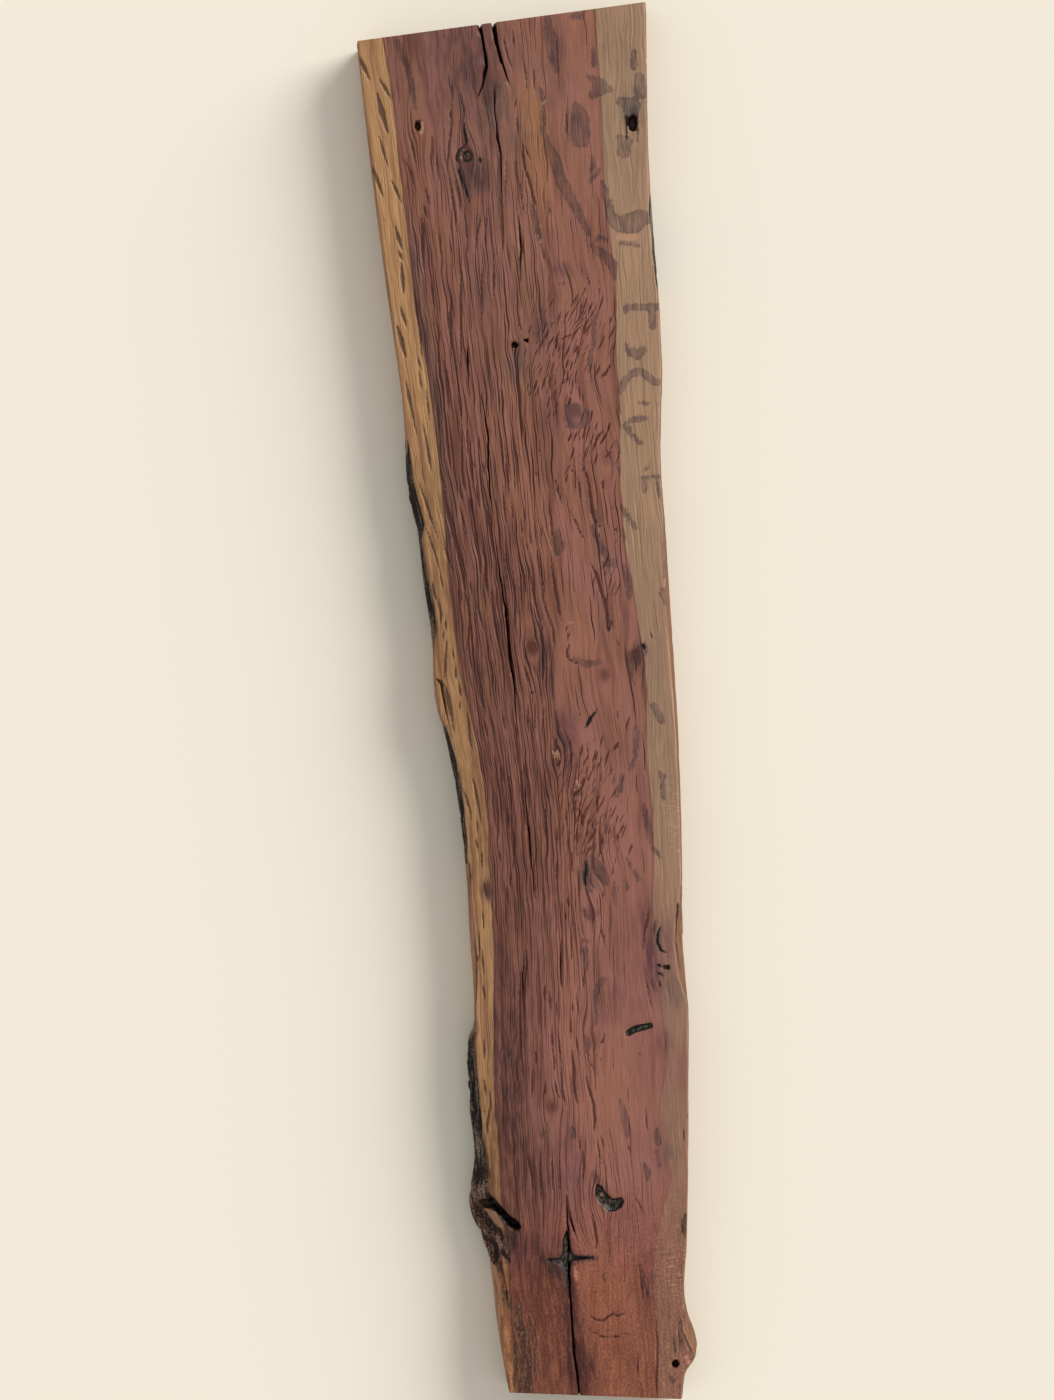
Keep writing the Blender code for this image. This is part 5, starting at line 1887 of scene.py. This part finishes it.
        # Heights in millimetres: fibres stand 0.08 proud and the grain's bands 0.2.
        height = add("Math", (noise["fibre"], 0.08), operation="MULTIPLY")
        for mask, rise in ((flecks, self.groove), (lined, self.groove), (noise["band"], 0.2)):
            height = add("Math", (mask, rise, height), operation="MULTIPLY_ADD")
        bump = add("Bump", {"Height": height, "Strength": 1.0, "Distance": MM}, "Normal")
        return add("BsdfPrincipled", {"Base Color": colour, "Roughness": rough, "Normal": bump,
                                      "Specular IOR Level": self.gloss})


@dataclass(frozen=True)
class LogSide(Finish):
    """The outside of the log: furrowed bark where it is left, weathered sapwood where it has gone."""

    name: str = "live_edge"
    bark: str = "#1D1613"
    bark_ridge: str = "#837263"
    scar_bark: str = "#2A1A15"
    scar_ridge: str = "#9A7561"
    black: str = "#17130F"
    callus: str = "#9A745E"
    # Painted light and shade: the bare wood is lighter on the shaded left side and darker on the lit right
    # side.
    bare_left_painted_light: str = "#AE8062"
    bare_right_painted_shade: str = "#7A543E"
    bare_deep: str = "#64442F"
    roughness: float = 0.85
    gloss: float = 0.2
    scar: tuple[float, float] = (-0.49, -0.525)  # metres along, where the branch scar's browner bark begins

    def bare_wood(self, add: Adder, place: Socket, streak: Socket) -> Socket:
        """Colours the log's wood where no bark is left: darker patches, 15 mm high and 80 mm long.
        It is painted lighter on the left side, which the lamp leaves in shade, and darker on the lit right
        side.

        Args:
            add: Adds a node to the material.
            place: Object coordinates.
            streak: The streaks' noise.

        Returns:
            The colour.
        """
        patches = add("Mapping", {"Vector": place, "Scale": (40, 12, 66)})
        patch = add("TexNoise", {"Vector": patches, "Scale": 1.0, "Detail": 3.0}, "Fac")
        weather = add("Math", (patch, 0.5, streak), operation="MULTIPLY_ADD")
        weather = add("MapRange", (weather, 0.62, 0.96), **EASED)
        # Painted shade: the right side, which faces the lamp, takes the darker colour.
        right = add("Math", (add("SeparateXYZ", (place,)), 0.0), operation="GREATER_THAN")
        bare = {"Factor": right, "A": linear(self.bare_left_painted_light), "B": linear(self.bare_right_painted_shade)}
        bare = add("Mix", bare, **COLOUR)
        return add("Mix", {"Factor": weather, "A": bare, "B": linear(self.bare_deep)}, **COLOUR)

    def bark_colour(self, add: Adder, place: Socket, furrow: Socket, flaky: Socket) -> Socket:
        """Colours the bark: black on the straight edge, browner on the swelling round the branch scar.

        Args:
            add: Adds a node to the material.
            place: Object coordinates.
            furrow: How deep in a furrow a point lies, from 0 to 1.
            flaky: The flakes' noise.

        Returns:
            The colour.
        """
        along = add("SeparateXYZ", (place,), 1)
        scar = add("MapRange", (along, *self.scar))
        tones = ((self.bark, self.scar_bark), (self.bark_ridge, self.scar_ridge))
        low, high = (add("Mix", {"Factor": scar, "A": linear(a), "B": linear(b)}, **COLOUR) for a, b in tones)
        proud = add("Math", (furrow, -0.34, flaky), operation="MULTIPLY_ADD")
        proud = add("Math", (scar, 0.06, proud), operation="MULTIPLY_ADD")
        proud = add("MapRange", (proud, 0.84, 1.19), **EASED)
        return add("Mix", {"Factor": proud, "A": low, "B": high}, **COLOUR)

    def shader(self, add: Adder) -> Socket:
        """Adds the side's nodes: bare wood, bark over it, then the marks that reach the side.

        Args:
            add: Adds a node to the material.

        Returns:
            The shader.
        """
        place = add("TexCoord", (), "Object")
        sides, marks, knots = read_fields(add, "sides", "marks", "knots")
        # Streaks of the log's surface: 2.5 mm high, 45 mm long. Grit of the bark: 2 mm.
        streaks = add("Mapping", {"Vector": place, "Scale": (380, 22, 400)})
        streak = add("TexNoise", {"Vector": streaks, "Scale": 1.0, "Detail": 4.0}, "Fac")
        grit = add("TexNoise", {"Vector": place, "Scale": 480.0, "Detail": 4.0}, "Fac")
        flaky = add("Math", (grit, streak), operation="ADD")
        bare = self.bare_wood(add, place, streak)
        bark = self.bark_colour(add, place, sides[0], flaky)
        cover = ragged(add, sides[1], flaky, 3.0, 1.2)
        colour = add("Mix", {"Factor": cover, "A": bare, "B": bark}, **COLOUR)
        black, callus = linear(self.black), linear(self.callus)
        # On the side: black resin, decay and the painted shadow at the right edge's step, then bark, then
        # callus with painted glints.
        for field, tone in ((marks[2], black), (sides[2], bark), (knots[2], callus)):
            inside = ragged(add, field, streak, 0.8, 0.8)
            colour = add("Mix", {"Factor": inside, "A": colour, "B": tone}, **COLOUR)
        bump = add("Bump", {"Height": flaky, "Strength": 0.8, "Distance": 0.0012}, "Normal")
        return add("BsdfPrincipled", {"Base Color": colour, "Roughness": self.roughness, "Normal": bump,
                                      "Specular IOR Level": self.gloss})


@dataclass(frozen=True)
class SawnBack(Finish):
    """The band-sawn back, left dry: paler and greyer than the face, with saw marks across it."""

    name: str = "sawn_back"
    heart: str = "#8A6152"
    heart_deep: str = "#6E4A3E"
    sap: str = "#B0906C"

    def shader(self, add: Adder) -> Socket:
        """Adds the back's nodes: streaked heartwood, sapwood along both edges, saw marks.

        Args:
            add: Adds a node to the material.

        Returns:
            The shader.
        """
        place = add("TexCoord", (), "Object")
        (sap,) = read_fields(add, "sapwood")
        # Grain streaks 6 mm across and 150 mm long; saw marks 3 mm apart.
        streaks = add("Mapping", {"Vector": place, "Scale": (165, 7, 7)})
        streak = add("TexNoise", {"Vector": streaks, "Scale": 1.0, "Detail": 4.0}, "Fac")
        saw = add("Mapping", {"Vector": place, "Scale": (4, 330, 4)})
        marks = add("TexNoise", {"Vector": saw, "Scale": 1.0, "Detail": 2.0}, "Fac")
        deep = add("MapRange", (streak, 0.35, 0.65))
        colour = add("Mix", {"Factor": deep, "A": linear(self.heart), "B": linear(self.heart_deep)}, **COLOUR)
        outer = add("Math", (sap[0], sap[1]), operation="MAXIMUM")
        outer = add("MapRange", (outer, -2.0, 3.0))
        colour = add("Mix", {"Factor": outer, "A": colour, "B": linear(self.sap)}, **COLOUR)
        tint = add("MapRange", (marks, 0.3, 0.7, 0.88, 1.1))
        colour = add("VectorMath", (colour, tint), operation="MULTIPLY")
        bump = add("Bump", {"Height": marks, "Strength": 0.6, "Distance": 0.0006}, "Normal")
        return add("BsdfPrincipled", {"Base Color": colour, "Roughness": self.roughness, "Normal": bump})


@dataclass(frozen=True)
class EndGrain(Finish):
    """The cross-cut ends: growth rings round the pith, broad rays across them, dark and thirsty."""

    name: str = "end_grain"
    heart: str = "#5F4036"
    ring: str = "#4A2F27"
    ray: str = "#7C5A4A"
    sap: str = "#967754"
    sap_ring: str = "#846442"
    sap_lean: float = -0.17  # how far the sapwood's inner line moves out for each step down
    pith: tuple[float, float, float] = (-0.018, 0.0, 0.008)  # in metres, like the rings' sizes
    ring_pitch: float = 0.0026
    ring_wobble: float = 0.012
    roughness: float = 0.7

    def shader(self, add: Adder) -> Socket:
        """Adds the ends' nodes: rings, rays across them, and sapwood that rings the pith.

        Args:
            add: Adds a node to the material.

        Returns:
            The shader.
        """
        place = add("TexCoord", (), "Object")
        off = add("VectorMath", (place, self.pith), operation="SUBTRACT")
        flat = add("VectorMath", (off, (1.0, 0.0, 1.0)), operation="MULTIPLY")
        distance = add("VectorMath", (flat,), "Value", operation="LENGTH")
        parts = add("SeparateXYZ", (off,)).node.outputs
        angle = add("Math", (parts[2], parts[0]), operation="ARCTAN2")
        wobble = add("TexNoise", {"Vector": flat, "Scale": 40.0, "Detail": 2.0}, "Fac")
        radius = add("Math", (wobble, self.ring_wobble, distance), operation="MULTIPLY_ADD")
        phase = add("Math", (radius, 2 * math.pi / self.ring_pitch), operation="MULTIPLY")
        rings = add("Math", (phase,), operation="SINE")
        rings = add("MapRange", (rings, -0.2, 1.0))
        colour = add("Mix", {"Factor": rings, "A": linear(self.heart), "B": linear(self.ring)}, **COLOUR)
        # Rays: radial lines, about 1.5 mm apart halfway out.
        polar = add("CombineXYZ", (angle, distance, 0.0))
        spread = add("Mapping", {"Vector": polar, "Scale": (52, 60, 1)})
        rays = add("TexNoise", {"Vector": spread, "Scale": 1.0, "Detail": 1.0}, "Fac", noise_dimensions="2D")
        ray_mix = add("MapRange", (rays, 0.55, 0.7))
        colour = add("Mix", {"Factor": ray_mix, "A": colour, "B": linear(self.ray)}, **COLOUR)
        # Lower down, the sapwood's inner line lies further out, as it rings the pith.
        (edges,) = read_fields(add, "sapwood")
        below = add("Math", (THICKNESS * MM, parts[2]), operation="SUBTRACT")
        sappy = add("Math", (edges[0], edges[1]), operation="MAXIMUM")
        sappy = add("Math", (below, self.sap_lean / MM, sappy), operation="MULTIPLY_ADD")
        sappy = add("Math", (wobble, 5.0, sappy), operation="MULTIPLY_ADD")
        sappy = add("MapRange", (sappy, 1.0, 4.0))
        sapwood = add("Mix", {"Factor": rings, "A": linear(self.sap), "B": linear(self.sap_ring)}, **COLOUR)
        colour = add("Mix", {"Factor": sappy, "A": colour, "B": sapwood}, **COLOUR)
        bump = add("Bump", {"Height": rays, "Strength": 0.5, "Distance": 0.0004}, "Normal")
        return add("BsdfPrincipled", {"Base Color": colour, "Roughness": self.roughness, "Normal": bump})


@dataclass(frozen=True)
class CreamPaper(Finish):
    """Matt cream paper, which takes a soft shadow and hardly shines."""

    name: str = "cream_paper"
    colour: str = "#F3EBD9"
    roughness: float = 0.95
    gloss: float = 0.1

    def shader(self, add: Adder) -> Socket:
        """Adds the paper's one shader."""
        return add("BsdfPrincipled", {"Base Color": linear(self.colour), "Roughness": self.roughness,
                                      "Specular IOR Level": self.gloss})


@dataclass(frozen=True)
class Studio:
    """Plain cream floor, one broad soft lamp from the upper right, and even light from all round."""

    floor: CreamPaper = CreamPaper()
    floor_half: float = 40.0  # metres, so that no edge shows in a low view
    floor_drop: float = -0.0003
    sky: float = 0.55
    sun: float = 3.48
    sun_spread: float = math.radians(40)
    sun_height: float = math.radians(24)
    sun_from: float = math.radians(30)  # from +X towards +Y
    lens: float = 85.0
    sensor: float = 36.0

    def lay_floor(self) -> bpy.types.Object:
        """Lays the floor just under the slab's back.

        Returns:
            The floor.
        """
        half, drop = self.floor_half, self.floor_drop
        data = bpy.data.meshes.new("studio_floor")
        corners = [(-half, -half, drop), (half, -half, drop), (half, half, drop), (-half, half, drop)]
        data.from_pydata(corners, [], [(0, 1, 2, 3)])
        made = bpy.data.objects.new("studio_floor", data)
        bpy.context.scene.collection.objects.link(made)
        data.materials.append(self.floor.material())
        return made

    def light(self) -> None:
        """Hangs the lamp and sets the even light and the colour transform."""
        lamp = bpy.data.lights.new("soft_key", "SUN")
        lamp.energy = self.sun
        lamp.angle = self.sun_spread
        holder = bpy.data.objects.new("soft_key", lamp)
        holder.rotation_euler = (0, math.pi / 2 - self.sun_height, self.sun_from)
        bpy.context.scene.collection.objects.link(holder)
        world = bpy.data.worlds.new("even_light")
        world.use_nodes = True
        world.node_tree.nodes["Background"].inputs["Color"].default_value = (1, 1, 1, 1)
        world.node_tree.nodes["Background"].inputs["Strength"].default_value = self.sky
        bpy.context.scene.world = world
        bpy.context.scene.view_settings.view_transform = "Standard"
        bpy.context.scene.view_settings.look = "None"

    def set_camera(self) -> None:
        """Puts the camera straight above the photo's middle, turned by the slab's lean."""
        data = bpy.data.cameras.new("photo_camera")
        data.lens = self.lens
        data.sensor_width = self.sensor
        data.dof.use_dof = False
        camera = bpy.data.objects.new("photo_camera", data)
        view_height = PHOTO_SIZE_PX[1] * MM_PER_PX * MM
        rise = view_height * self.lens / self.sensor + THICKNESS * MM
        camera.location = (PHOTO_MIDDLE_MM[0] * MM, PHOTO_MIDDLE_MM[1] * MM, rise)
        camera.rotation_euler = (0, 0, -PHOTO_LEAN)
        bpy.context.scene.collection.objects.link(camera)
        bpy.context.scene.camera = camera


def main() -> None:
    """Builds the studio and the slab, and reports each piece."""
    logging.basicConfig(level=logging.INFO, format="%(name)s: %(message)s")
    studio = Studio()
    floor = studio.lay_floor()
    LOG.info("%s: laid", floor.name)
    studio.light()
    studio.set_camera()
    slab = SlabWood(BulokeFigure(), LEFT_SIDE, RIGHT_SIDE).build()
    finishes = {Skin.FACE: OiledBuloke(), Skin.SIDE: LogSide(), Skin.BACK: SawnBack(), Skin.END: EndGrain()}
    for skin in Skin:
        slab.data.materials.append(finishes[skin].material())
    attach(slab, "root")
    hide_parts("slab")
    slab.data.calc_loop_triangles()
    LOG.info("%s: %d triangles", slab.name, len(slab.data.loop_triangles))


if __name__ == "__main__":
    main()
